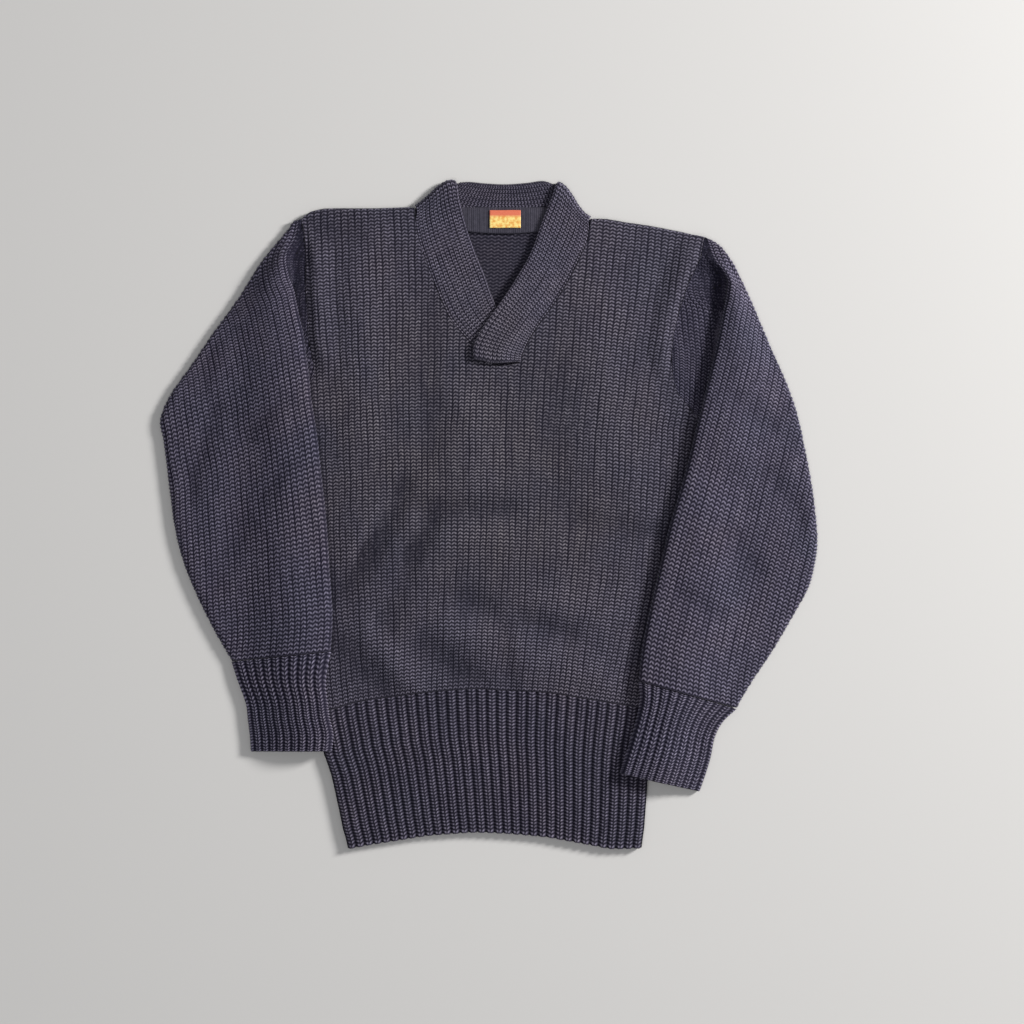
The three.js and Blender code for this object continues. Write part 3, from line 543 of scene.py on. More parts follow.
def mesh_object(name, points, faces):
    """A smooth mesh with its faces pointing out, from points in millimetres."""
    corners = np.array([(f[0], f[1], f[2], f[3] if len(f) == 4 else f[2]) for f in faces])
    a, b, c, d = (points[corners[:, k]] for k in range(4))
    if (a * (np.cross(b, c) + np.cross(c, d))).sum() < 0:
        faces = [face[::-1] for face in faces]
    mesh = bpy.data.meshes.new(name)
    mesh.from_pydata((points * MM).tolist(), [], faces)
    mesh.shade_smooth()
    piece = bpy.data.objects.new(name, mesh)
    bpy.context.scene.collection.objects.link(piece)
    return piece


# Body

def band_point(across, down):
    """A point of the waistband, from its left side to its right and from its seam to its hem."""
    place = np.interp(down, BAND_SIDES["down"], np.arange(len(BAND_SIDES["down"])))
    side = along(BAND_SIDES, place)
    edges = []
    for edge in (BAND_TOP, BAND_BOTTOM):
        spot = np.interp(blend(edge["x"][0], edge["x"][-1], across), edge["x"], np.arange(len(edge["x"])))
        edges.append(along(edge, spot)["y"])
    return blend(side["left"], side["right"], across), blend(*edges, down)


def armhole_edge(rows, away):
    """Line of an armhole seam, moved aside."""
    places = np.arange(0, ARMHOLE_ROWS + 0.1, 0.5)
    row = along(rows, places)
    return row["seam_x"] + away, row["seam_y"]


def neck_path(rows, away_x, away_y, order):
    """Corners of a neck edge, beside the seam of the collar."""
    x, y = rows["seam_x"][order] + away_x, rows["seam_y"][order] + away_y
    return list(zip(x, y))


def front_neck():
    """Neck edge of the front, left to right."""
    left = neck_path(LEFT_LAPEL, -SEAM_GAP, -0.2, slice(None, 0, -1))
    right = neck_path(RIGHT_LAPEL, SEAM_GAP, 0, slice(-2, None, -1))
    left[0] = (left[1][0] - 0.2, left[0][1])
    return left + NECK_POINT + right


def back_neck():
    return neck_path(COLLAR_BACK, 0, -SEAM_GAP, slice(None))


def top_edge(neck):
    """Upper outline of a body panel, from one armhole over the shoulders and neck to the other."""
    left = list(zip(SHOULDERS["left_x"][::-1], SHOULDERS["left_y"][::-1]))
    right = list(zip(SHOULDERS["right_x"], SHOULDERS["right_y"]))
    return [SHOULDER_ENDS[0], *left, *neck, *right, SHOULDER_ENDS[1]]


def trim(lines, past):
    """Move each point of a line that is past an edge back to where its line crosses the edge."""
    beyond = past > 0
    for n in np.flatnonzero(beyond.any(axis=1)):
        k = max(int(beyond[n].argmax()), 1)
        f = past[n, k - 1] / (past[n, k - 1] - past[n, k])
        lines[n, k:] = lines[n, k - 1] + np.clip(f, 0, 1) * (lines[n, k] - lines[n, k - 1])


def body_grid(neck):
    """Lattice of a body panel, cut to its outline: x, y, wale and course of every point."""
    wale = lattice_columns(BODY_WALES)
    course = lattice_courses(wale, BODY_COURSES)
    wale = np.broadcast_to(wale, course.shape)
    seam_x, seam_y = band_point(np.linspace(0, 1, 60), np.zeros(60))
    y = WAIST_Y + BODY_COURSE * course
    for _ in range(3):
        left, right = (np.interp(y, BODY_SIDES["y"], BODY_SIDES[side]) for side in ("left", "right"))
        x = blend(left, right, wale / BODY_WALES)
        low = np.interp(x, seam_x, seam_y) + KNIT_GAP + BODY_COURSE * course
        arched = WAIST_Y + KNIT_GAP + BODY_COURSE * course - ARCH * (x - ARCH_X) ** 2
        y = blend(low, arched, smooth(0, 45, course))
    settled = smooth(0, 6, course) * smooth(0, 3, wale) * smooth(0, 3, BODY_WALES - wale)
    x = x + settled * uneven(x, y, 1)
    y = y + settled * uneven(x, y, 2)
    grid = np.stack([x, y, wale, course], axis=-1)
    tops = np.array(top_edge(neck))
    columns = grid.transpose(1, 0, 2)
    trim(columns, columns[..., 1] - np.interp(columns[..., 0], tops[:, 0], tops[:, 1]))
    middle = grid.shape[1] // 2
    for half, rows, way in ((grid[:, middle::-1], SLEEVE_RIGHT, 1), (grid[:, middle:], SLEEVE_LEFT, -1)):
        edge_x, edge_y = armhole_edge(rows, way * SEAM_GAP)
        limit = np.interp(half[..., 1], edge_y[::-1], edge_x[::-1])
        inside = half[..., 1] < edge_y[-1]
        trim(half, np.where(inside, -1, way * (limit - half[..., 0])))
    return grid


def uneven(x, y, seed):
    """Slow drift of a hand-fed knit, in millimetres."""
    shift = 2.4 * seed
    return (0.55 * np.sin(x / 21 + 1.3 * shift) * np.sin(y / 27 + shift)
            + 0.3 * np.sin(x / 9 - y / 13 + shift) + 0.2 * np.sin(y / 6.3 + x / 17 + 2 * shift)
            + 0.14 * np.sin(x / 1.9 + shift) * np.sin(y / 2.3 + 0.7 * shift))


def side_paths():
    """Edges of a body panel that round off: both sides and both shoulders."""
    y = BODY_SIDES["y"][:SIDE_ROWS]
    sides = [list(zip(BODY_SIDES[side][:SIDE_ROWS], y)) for side in ("left", "right")]
    shoulders = [list(zip(SHOULDERS[f"{side}_x"], SHOULDERS[f"{side}_y"])) for side in ("left", "right")]
    return sides + shoulders


def front_lift(x, y):
    """Height of the front's soft folds over the back."""
    left, right = (np.interp(y, BODY_SIDES["y"][:SIDE_ROWS], BODY_SIDES[side][:SIDE_ROWS])
                   for side in ("left", "right"))
    calm = smooth(26, 62, np.minimum(x - left, right - x)) * smooth(-204, -176, y)
    neck = smooth(24, 60, np.hypot(x + 5, y - 158))
    folded = np.clip(RESTING_LIFT - fold_depth(FRONT_FOLDS, x, y), 0, MOST_LIFT) * calm * neck
    return np.maximum(folded, armhole_lift(x, y))


def armhole_lift(x, y):
    """A soft ridge beside each armhole, where the sleeve's weight draws the front up."""
    left_x, left_y = armhole_edge(SLEEVE_RIGHT, 0)
    right_x, right_y = armhole_edge(SLEEVE_LEFT, 0)
    away = np.minimum(x - np.interp(y, left_y[::-1], left_x[::-1]),
                      np.interp(y, right_y[::-1], right_x[::-1]) - x)
    across = smooth(0, 10, away) * (1 - smooth(11, 36, away))
    return RIDGE_LIFT * across * smooth(*RIDGE_RISES, y) * (1 - smooth(*RIDGE_FADES, y))


def seam_hold(course, x, y, neck):
    """1 on open cloth and 0 on a seam, where the stitches are pulled flat."""
    paths = [neck] + [list(zip(*armhole_edge(rows, 0))) for rows in (SLEEVE_RIGHT, SLEEVE_LEFT)]
    away = np.minimum.reduce([distance_to(path, x, y) for path in paths])
    return smooth(-SEAM_SOFT, SEAM_SOFT, np.minimum(away, course * BODY_COURSE))


def edge_drop(x, y):
    """How far a panel's upper face rounds down to its side seams and shoulders."""
    away = np.minimum.reduce([distance_to(path, x, y) for path in side_paths()])
    return EDGE_DROP * (1 - np.clip(away / EDGE_ROUND, 0, 1)) ** 2


def to_sleeves(x, y):
    """Distance of points from the inner folds of the two sleeves, which lie on the front."""
    distances = []
    for rows in (SLEEVE_RIGHT, SLEEVE_LEFT):
        fine = along(rows, np.linspace(0, len(rows["fold_x"]) - 1, 60))
        distances.append(distance_to(list(zip(fine["fold_x"], fine["fold_y"])), x, y))
    return np.minimum(*distances)


def make_front():
    neck = front_neck()
    grid = body_grid(neck)
    x, y, wale, course = np.moveaxis(grid, -1, 0)
    hold = seam_hold(course, x, y, neck)
    lift = front_lift(x, y)
    underarm = smooth(*UNDERARM_ACROSS, x) * smooth(*UNDERARM_RISES, y) * (1 - smooth(*UNDERARM_FADES, y))
    x = x + UNDERARM_REACH * underarm
    top = FRONT_FLOOR + CLOTH + lift - edge_drop(x, y) - SEAM_DIP * (1 - hold)
    floor = FRONT_FLOOR + lift * smooth(0, 12, course)
    outer = layer(x, y, top)
    inner = layer(x, y, np.minimum(floor, top - 0.5))
    # Painted shade in the folds and a painted shadow along the sleeves that lie on the front, painted
    # light on the ridges
    painted_shade = np.clip(fold_depth(FRONT_FOLDS, x, y) / 1.8, -1, 1.3)
    painted_shade = painted_shade + 1.6 * np.exp(-((to_sleeves(x, y) / 2.6) ** 2))
    return shell("front_panel", outer, inner, stitch_marks(wale, course, hold, fold=(painted_shade, 0.0)),
                 thinned(grid), thinned(grid, 8, 4))


def make_back():
    neck = back_neck()
    grid = body_grid(neck)
    x, y, wale, course = np.moveaxis(grid, -1, 0)
    hold = seam_hold(course, x, y, neck)
    drop = edge_drop(x, y)
    crease = np.clip(fold_depth(BACK_FOLDS, x, y), 0, 1.4) * hold * smooth(0.5, 0, drop)
    under = layer(x, y, drop + 0.5 * (1 - hold) + crease)
    top = layer(x, y, np.maximum(CLOTH - 0.35 * drop, 0) - SEAM_DIP * (1 - hold))
    rows, columns = (np.arange(count) for count in x.shape)
    open_rows = (rows > OPEN_ROW) | (rows % 12 == 0)
    in_neck = (columns > OPEN_COLUMNS[0]) & (columns < OPEN_COLUMNS[1])
    return shell("back_panel", under, top, stitch_marks(wale, course, hold, -hold), thinned(grid, 1, 2),
                 (rows[open_rows], columns[in_neck | (columns % 8 == 0)]))


# Sleeves and cuffs

def section_frame(row):
    dx, dy = row["edge_x"] - row["fold_x"], row["edge_y"] - row["fold_y"]
    width = np.hypot(dx, dy)
    return {"x": row["fold_x"], "y": row["fold_y"], "ax": dx / width, "ay": dy / width, "width": width}


def spots(section, distance, height):
    """Points of sections at distances from the inner fold and at heights."""
    x = section["x"][:, None] + section["ax"][:, None] * distance
    y = section["y"][:, None] + section["ay"][:, None] * distance
    return layer(x, y, height)


def turn(section, centre, height, radius):
    distance = centre[:, None] + radius * np.cos(FOLD_TURN)
    return spots(section, distance, height - radius * np.sin(FOLD_TURN))


def inner_turn_of(section):
    centre = np.full(len(section["width"]), INNER_REACH)
    return turn(section, centre, OVER_BODY + INNER_FOLD, -INNER_FOLD)


def outer_turn_of(section):
    return turn(section, section["width"] - OUTER_REACH, FLOOR_WALL + OUTER_FOLD, OUTER_FOLD)


def lower_wall(distance, under):
    """Height of a sleeve's underside, which steps down from the body to the floor."""
    return blend(OVER_BODY, FLOOR_WALL, smooth(under + STEP_FROM, under + STEP_TO, distance))


def upper_wall(row, section, start):
    """Points of a sleeve's upper side, from its inner fold down to its outer one."""
    end = section["width"] - OUTER_REACH
    hold = np.maximum(start, blend(row["pleat"], row["under"], row["tube"]) + 3)[:, None]
    drop = np.maximum(np.minimum(70, 0.95 * (end[:, None] - hold)), 1)
    f = (np.arange(UPPER_POINTS) + 1) / (UPPER_POINTS + 1)
    distance = blend(start[:, None], end[:, None], f)
    height = blend(FOLD_TOP, OUTER_FOLD_TOP, smooth(hold, hold + drop, distance))
    return spots(section, distance, height + np.sin(np.pi * f) ** 0.8 * row["puff"][:, None])


def sleeve_sections(rows, places):
    """Middle line of the cloth in sections across a sleeve, as sections x 28 points."""
    row = along(rows, places)
    section = section_frame(row)
    width = section["width"]
    tube = np.clip(row["tube"], 0, 1)[:, None, None]
    seam = layer(row["seam_x"], row["seam_y"], FRONT_WALL)[:, None]
    fold = layer(row["fold_x"], row["fold_y"], 0.0)[:, None]
    outer_turn = outer_turn_of(section)
    inner_turn = inner_turn_of(section)
    steps = 10 + UPPER_POINTS
    plain = blend(seam, outer_turn[:, :1], (np.arange(steps) / steps)[None, :, None])
    rise = np.array([0, 0, 0.05, 0.25, 0.45, 0.6, 0.72, 0.84, 0.93, 1])
    toward = blend(seam, fold, np.array([0, 0.35, 0.7, 0.85, 0.95])[None, :, None])
    shares = np.array([0.005, 0.03, 0.06, 0.1, 0.15])
    beyond = spots(section, shares * (width - OUTER_REACH)[:, None], 0.0)
    step = np.concatenate([toward, beyond], axis=1)
    step[..., 2] = blend(FRONT_WALL, FOLD_TOP, rise)
    step = np.concatenate([step, upper_wall(row, section, 0.15 * (width - OUTER_REACH))], axis=1)
    turn_in = spots(section, row["pleat"][:, None] + np.array([-1.2, 0, -1.2]),
                    np.array([FRONT_WALL, (FRONT_WALL + OVER_BODY) / 2, OVER_BODY]))
    from_fold = upper_wall(row, section, np.full(len(places), INNER_REACH))
    upper = np.concatenate([inner_turn, from_fold], axis=1)
    pleated = np.concatenate([seam, blend(seam, turn_in[:, :1], 0.5), turn_in, upper], axis=1)
    under = row["under"][:, None]
    climb = np.concatenate([under + [EDGES_MEET, 15, 10, 4], 0.5 * under + INNER_REACH], axis=1)
    tubed = np.concatenate([spots(section, climb, lower_wall(climb, under)), upper], axis=1)
    share = np.clip(row["fold"], 0, 2)[:, None, None]
    points = blend(blend(plain, step, np.clip(share, 0, 1)), pleated, np.clip(share - 1, 0, 1))
    points = blend(points, tubed, tube)
    floor_seam = seam * [1, 1, 0] + [0, 0, FLOOR_WALL]
    low_end = spots(section, under + EDGES_MEET + SEAM_GAP, FLOOR_WALL)
    low_end = blend(floor_seam, low_end, np.clip(2 * tube, 0, 1))
    lower = blend(outer_turn[:, -1:], low_end, (np.arange(1, 6) / 5)[None, :, None])
    length = layer(-section["ay"], section["ax"], 0.0)[:, None]
    return np.concatenate([points, outer_turn, lower], axis=1), length, section


def course_places(rows, pitch):
    """Places along a sleeve's table for every quarter of a course, and the number of courses."""
    table_places = np.linspace(0, len(rows["fold_x"]) - 1, 400)
    fine = along(rows, table_places)
    middle = np.stack([fine["fold_x"] + fine["edge_x"], fine["fold_y"] + fine["edge_y"]], -1) / 2
    run = np.append(0, np.cumsum(np.hypot(*np.diff(middle, axis=0).T)))
    courses = int(round(run[-1] / pitch))
    quarters = np.linspace(0, run[-1], 4 * courses + 1)
    return np.interp(quarters, run, table_places), courses


def sleeve_grid(rows):
    """A sleeve's lattice: middle of its cloth, way out, wale, distance to its edges and share of its
    width, and the course of every point, counted from the cuff up."""
    places, courses = course_places(rows, SLEEVE_COURSE)
    lines, length, section = sleeve_sections(rows, places)
    dense = refine(lines, FINE)
    out = way_out(np.gradient(dense, axis=1), length)
    arc = arc_lengths(dense)
    arc = arc - arc[:, [FINE * INNER_FOLD_POINT]]
    first, last = math.floor(arc.min() / SLEEVE_WALE), math.ceil(arc.max() / SLEEVE_WALE)
    wale = lattice_columns(last - first, first=first)
    reach = np.clip(wale[None, :] * SLEEVE_WALE, arc[:, :1], arc[:, -1:])
    sampled = sample(np.concatenate([dense, out], axis=2), arc, reach)
    to_end = np.minimum(reach - arc[:, :1], arc[:, -1:] - reach)
    flat_width = section["width"][:, None] * np.ones(len(wale))
    facts = np.concatenate([sampled, (reach / SLEEVE_WALE)[..., None], to_end[..., None],
                            (reach / flat_width)[..., None]], axis=-1)
    course = lattice_courses(wale, courses)
    rows_at = np.round(4 * (courses - course)).astype(int)
    return facts[rows_at, np.arange(len(wale))[None, :]], course


def make_sleeve(name, rows):
    grid, course = sleeve_grid(rows)
    middle, out = grid[..., :3].copy(), grid[..., 3:6]
    wale, to_end, share = grid[..., 6], grid[..., 7], grid[..., 8]
    on_top = smooth(0.02, 0.12, share) * smooth(0.02, 0.12, 0.97 - share)
    folded = on_top * np.clip(fold_depth(SLEEVE_FOLDS, middle[..., 0], middle[..., 1]), -2, 2.6)
    middle[..., 2] -= folded
    hold = smooth(-SEAM_SOFT, SEAM_SOFT, np.minimum(to_end, course * SLEEVE_COURSE))
    # Painted shade: darker in the pleat, most of all close under the inner fold, with a painted line of
    # shade on the fold
    painted_shade = (1 - smooth(-0.03, 0.035, share)) * (0.9 + 1.2 * smooth(-40, -19, wale * SLEEVE_WALE))
    painted_shade = painted_shade + 1.2 * np.exp(-(((share + 0.005) / 0.02) ** 2))
    outer = middle + out * (CLOTH / 2 - SEAM_DIP * (1 - hold))[..., None]
    outer[..., 2] = np.maximum(outer[..., 2], LEAST_HEIGHT)
    inner = middle - out * (CLOTH / 2)
    # The fold mark is painted shade, in the sleeve's soft folds and in its pleat
    marks = stitch_marks(wale, course, hold, fold=(folded / 2.2 + painted_shade, 0.0))
    return shell(name, outer, inner, marks, thinned(grid), thinned(grid, 8, 4))


def cuff_sections(rows, places):
    """Closed middle line of the cloth in sections across a cuff."""
    row = along(rows, places)
    section = section_frame(row)
    turn_at, under = (section["width"] - OUTER_REACH)[:, None], row["under"][:, None]
    f = (np.arange(10) + 0.5) / 10
    distance = blend(INNER_REACH, turn_at, f)
    start, end = under + CUFF_SINKS[0], np.maximum(under + CUFF_SINKS[1], turn_at)
    height = blend(FOLD_TOP, OUTER_FOLD_TOP, smooth(start, end, distance)) + 1.6 * np.sin(np.pi * f)
    lower = np.concatenate([
        blend(turn_at, under + STEP_TO, np.array([0.3, 0.6])), under + [STEP_TO, 12, 8, 3]], axis=1)
    points = np.concatenate([
        inner_turn_of(section), spots(section, distance, height), outer_turn_of(section),
        spots(section, lower, lower_wall(lower, under))], axis=1)
    length = layer(-section["ay"], section["ax"], 0.0)[:, None]
    return points, length


def rib_profile(within):
    """Height of a rib across its width, 0 in the valley and 1 on its two legs."""
    crest = smooth(0.02, 0.27, np.minimum(within, 1 - within))
    return crest - 0.16 * (1 - smooth(0, 0.14, np.abs(within - 0.5)))


def rib_relief(columns, course, courses):
    """Hold of stitches and height of ribs, which grow out of the seam at their last course."""
    from_seam = courses - course
    hold = smooth(-0.6, 0.3, from_seam) * smooth(0, 0.8, course)
    return hold, rib_profile(columns % 1)[None, :] * smooth(-1.2, 0.3, from_seam)


def make_cuff(name, rows):
    places = np.linspace(0, len(rows["fold_x"]) - 1, 4 * CUFF_COURSES + 1)
    lines, length = cuff_sections(rows, places)
    around = np.concatenate([lines[:, -3:], lines, lines[:, :4]], axis=1)
    dense = refine(around, FINE)[:, 3 * FINE:(3 + lines.shape[1]) * FINE + 1]
    out = way_out(np.gradient(dense, axis=1), length)
    arc = arc_lengths(dense)
    columns = lattice_columns(CUFF_RIBS, RIB_COLUMNS)[:-1]
    phases = lattice_columns(CUFF_RIBS, RIB_PHASES)[:-1]
    facts = sample(np.concatenate([dense, out], axis=2), arc, columns / CUFF_RIBS * arc[:, -1:])
    course = lattice_courses(phases, CUFF_COURSES)
    grid = facts[np.round(4 * (CUFF_COURSES - course)).astype(int), np.arange(len(columns))[None, :]]
    middle, out = grid[..., :3], grid[..., 3:]
    hold, rib = rib_relief(columns, course, CUFF_COURSES)
    outer = middle + out * (CLOTH / 2 - 0.9 + 1.5 * rib - 0.9 * (1 - hold) * (course < 2))[..., None]
    outer[..., 2] = np.maximum(outer[..., 2], LEAST_HEIGHT)
    inner = middle - out * (CLOTH / 2)
    return shell(name, outer, inner, stitch_marks(phases[None, :], course, hold, rib=(rib, 1.0)),
                 thinned(grid), (every(grid.shape[0], 6), np.arange(0, len(columns), 3)), wrap=True)


# Waistband

def make_waistband(name, floor, under):
    """One half of the waistband. The lower half, under the other one, has its ribs on its underside."""
    columns = lattice_columns(BAND_RIBS, RIB_COLUMNS)
    phases = lattice_columns(BAND_RIBS, RIB_PHASES)
    course = lattice_courses(phases, BAND_COURSES)
    down = 1 - course / BAND_COURSES
    x, y = band_point(np.broadcast_to(columns / BAND_RIBS, course.shape), down)
    y = y - 1.1 * rib_profile(columns % 1)[None, :] * (1 - smooth(0, 2.5, course))
    hold, rib = rib_relief(columns, course, BAND_COURSES)
    side = np.minimum(columns, BAND_RIBS - columns)[None, :] * BAND_RIB_PITCH
    drop = BAND_EDGE_DROP * (1 - np.clip(side / BAND_EDGE_ROUND, 0, 1)) ** 2
    face = 1.6 * rib - 0.6 - SEAM_DIP * (1 - hold) - drop
    if under:
        outer = layer(x, y, np.maximum(floor + 1.0 - face, floor + 0.2))
        inner = layer(x, y, floor + CLOTH - 0.3 * drop)
    else:
        outer = layer(x, y, floor + CLOTH + face)
        inner = layer(x, y, floor)
    return shell(name, outer, inner, stitch_marks(phases[None, :], course, hold, rib=(rib, 1.0)),
                 thinned(course), thinned(course, 8, 3))


# Collar

def collar_rows(rows, climbs=False):
    """Points across the collar at each row of its table."""
    share = COLLAR_SHARES[None, :]
    rise = np.broadcast_to(share, (len(rows["seam_x"]), len(COLLAR_SHARES))).copy()
    if climbs:
        rise[CLIMB_FROM:] = smooth(0.05, 0.34, share)
    points = [blend(rows[f"seam_{axis}"][:, None], rows[f"rim_{axis}"][:, None], f)
              for axis, f in (("x", share), ("y", share), ("lift", rise))]
    curve = np.where(rows["seam_x"][:, None] < 0, np.sin(np.pi * share ** 1.8), -np.sin(2 * np.pi * share))
    points[1] = points[1] + COLLAR_CURVE * curve * smooth(290, 330, rows["seam_y"])[:, None]
    return np.stack(points, -1)


def shoulder_turn(front, back, out_x, out_y):
    """Rows round the fold at a shoulder, where the collar turns from the front over to the back."""
    radius = (front[:, 2] - back[:, 2]) / 2
    made = []
    for f in (0.25, 0.5, 0.75):
        reach = radius * math.sin(math.pi * f)
        height = back[:, 2] + radius * (1 + math.cos(math.pi * f))
        made.append(np.stack([front[:, 0] + out_x * reach, front[:, 1] + out_y * reach, height], -1))
    return np.stack(made)


def make_collar():
    left, back = collar_rows(LEFT_LAPEL), collar_rows(COLLAR_BACK)
    right = collar_rows(RIGHT_LAPEL, climbs=True)
    right[-1, :, 1] -= COLLAR_END_BULGE * np.sin(np.pi * smooth(0.1, 1, COLLAR_SHARES))
    rows = np.concatenate([
        left, shoulder_turn(left[-1], back[0], -0.5, 0.87), back,
        shoulder_turn(right[0], back[-1], 0.68, 0.73)[::-1], right])
    dense = refine(rows.transpose(1, 0, 2), COLLAR_FINE[0])
    run = arc_lengths(dense).mean(axis=0)
    courses = int(round(run[-1] / COLLAR_COURSE))
    quarter = np.linspace(0, run[-1], 4 * courses + 1)
    stations = sample(dense, [run] * len(dense), [quarter] * len(dense))
    across = refine(stations.transpose(1, 0, 2), COLLAR_FINE[1])
    wale = lattice_columns(COLLAR_WALES)
    width = arc_lengths(across)
    grid_all = sample(across, width, wale / COLLAR_WALES * width[:, -1:])
    out_all = way_out(np.gradient(grid_all, axis=1), np.gradient(grid_all, axis=0))
    course = lattice_courses(wale, courses)
    picks = np.round(4 * course).astype(int), np.arange(len(wale))[None, :]
    middle, out = grid_all[picks], out_all[picks]
    ends = np.minimum(course, courses - course)
    at_seam, at_rim = smooth(-0.1, 0.3, wale), smooth(-0.1, 0.35, COLLAR_WALES - wale)
    hold = (at_seam * at_rim)[None, :] * smooth(0, 0.8, ends)
    to_rim = np.minimum(COLLAR_WALE * (COLLAR_WALES - wale)[None, :], COLLAR_COURSE * ends + 0.3)
    round_off = np.sqrt(1 - (1 - np.clip(to_rim / COLLAR_RIM_ROUND, 0, 1)) ** 2)
    half = COLLAR_CLOTH / 2 * np.maximum(round_off, 0.15) - 0.2 * (1 - hold)
    outer = middle + out * half[..., None]
    inner = middle - out * half[..., None]
    for face in (outer, inner):
        face[..., 2] = np.maximum(face[..., 2], COLLAR_LEAST_HEIGHT)
    painted_shade = smooth(2.4, 1.8, middle[..., 2]) * 0.8 + 1.7 * (1 - round_off)  # painted shade where the collar lies low at the back of the neck and on its rounded rim
    marks = stitch_marks(wale[None, :], course, hold, hold, fold=(painted_shade, painted_shade))
    return shell("collar_shawl", outer, inner, marks, thinned(course), thinned(course))


# Neck tape and label

def flat_strip(name, columns, rows, place, size, stitches_at):
    """A thin closed strip whose upper face is a grid of points between its edges."""
    u, v = np.meshgrid(np.linspace(0, 1, columns), np.linspace(0, 1, rows))
    x, y = place(u, v)
    rim = np.minimum(np.minimum(u, 1 - u) * (columns - 1), np.minimum(v, 1 - v) * (rows - 1))
    round_off = 0.35 * size["thick"] * (1 - smooth(0, 2, rim))
    outer = layer(x, y, size["floor"] + size["thick"] - round_off)
    inner = layer(x, y, size["floor"])
    marks = stitch_marks(*stitches_at(x, y), smooth(0, 2, rim))
    return shell(name, outer, inner, marks, thinned(x), thinned(x, 4, 4))


def make_tape():
    def place(u, v):
        middle = (TAPE["left"] + TAPE["right"]) / 2
        half = (TAPE["right"] - TAPE["left"]) / 2
        x = TAPE["left"] + 2 * half * u
        sag = 1 - ((x - middle) / half) ** 2
        bottom = TAPE["side_bottom"] + (TAPE["middle_bottom"] - TAPE["side_bottom"]) * sag
        return x, blend(bottom, TAPE["top"], v)

    def ribs(x, y):
        wale = TAPE_RIBS * (x - TAPE["left"]) / (TAPE["right"] - TAPE["left"])
        return wale, 0.5 + LEAN * np.abs(2 * (wale % 1) - 1)

    return flat_strip("neck_tape_knit", 4 * TAPE_RIBS + 1, 41, place, TAPE, ribs)


def make_label():
    def place(u, v):
        x = LABEL["x"] + LABEL["width"] * (u - 0.5)
        y = LABEL["y"] + LABEL["height"] * (v - 0.5)
        return x, y + 0.35 * np.sin(3.2 * u + 0.4) - 0.25 * np.sin(5 * u)

    def threads(x, y):
        return (x - LABEL["x"]) / 0.65, (y - LABEL["y"]) / 0.62

    return flat_strip("label_woven", 101, 61, place, LABEL, threads)


# Node trees

class Signal:
    """An output of a node, which takes part in sums like a number."""

    def __init__(self, wiring, node, output):
        self.wiring = wiring
        self.node = node
        self.output = output

    def __add__(self, other):
        return self.wiring.math("ADD", self, other)

    def __sub__(self, other):
        return self.wiring.math("SUBTRACT", self, other)

    def __rsub__(self, other):
        return self.wiring.math("SUBTRACT", other, self)

    def __mul__(self, other):
        return self.wiring.math("MULTIPLY", self, other)

    def __abs__(self):
        return self.wiring.math("ABSOLUTE", self)


class Wiring:
    """Adds nodes to a tree from left to right and links them."""

    def __init__(self, tree):
        self.tree = tree
        self.column = 0

    def node(self, kind, *feeds, sockets=None, **settings):
        """A new node. feeds go to its inputs in order, sockets to those that they name."""
        made = self.tree.nodes.new(kind)
        made.location = (180 * self.column, -160 * (self.column % 3))
        self.column += 1
        for key, value in settings.items():
            setattr(made, key, value)
        for key, value in (*enumerate(feeds), *(sockets or {}).items()):
            if value is not None:
                self.feed(made.inputs[key], value)
        return made

    def feed(self, socket, value):
        if isinstance(value, Signal):
            self.tree.links.new(value.node.outputs[value.output], socket)
        else:
            socket.default_value = value

    def signal(self, kind, output, *feeds, **settings):
        """One output of a new node."""
        return Signal(self, self.node(kind, *feeds, **settings), output)

    def math(self, operation, *feeds):
        return self.signal("ShaderNodeMath", 0, *feeds, operation=operation)

    def vector(self, x, y):
        return self.signal("ShaderNodeCombineXYZ", 0, x, y)

    def place(self):
        """Place on the object, in metres."""
        return self.signal("ShaderNodeTexCoord", "Object")

    def attribute(self, name):
        """A number that each point of a cloth carries."""
        if self.tree.type == "GEOMETRY":
            return self.signal("GeometryNodeInputNamedAttribute", "Attribute", sockets={"Name": name},
                               data_type="FLOAT")
        return self.signal("ShaderNodeAttribute", "Fac", attribute_name=name)

    def noise(self, place, scale, detail=2.0, roughness=0.5, seed=None):
        """Noise over a place, and another one for each seed."""
        sockets = {"Vector": place, "Scale": scale, "Detail": detail, "Roughness": roughness, "W": seed}
        return self.signal("ShaderNodeTexNoise", "Fac", sockets=sockets,
                           noise_dimensions="3D" if seed is None else "4D")

    def mix(self, share, first, second, **settings):
        """A colour between two, which go to the node's seventh and eighth inputs."""
        sockets = {"Factor": share, 6: first, 7: second}
        return self.signal("ShaderNodeMix", 2, sockets=sockets, data_type="RGBA", **settings)

    def surface(self, sockets):
        """Feed the surface of a material."""
        for key, value in sockets.items():
            self.feed(self.tree.nodes["Principled BSDF"].inputs[key], value)


def new_tree(name, kind, inputs, outputs):
    """A node tree with named inputs and outputs, its wiring and the signals of its inputs."""
    tree = bpy.data.node_groups.new(name, kind)
    for label, socket, value in inputs:
        made = tree.interface.new_socket(label, in_out="INPUT", socket_type=socket)
        if value is not None:
            made.default_value = value
    for label, socket in outputs:
        tree.interface.new_socket(label, in_out="OUTPUT", socket_type=socket)
    w = Wiring(tree)
    entry = w.node("NodeGroupInput")
    return tree, w, {label: Signal(w, entry, label) for label, socket, value in inputs}


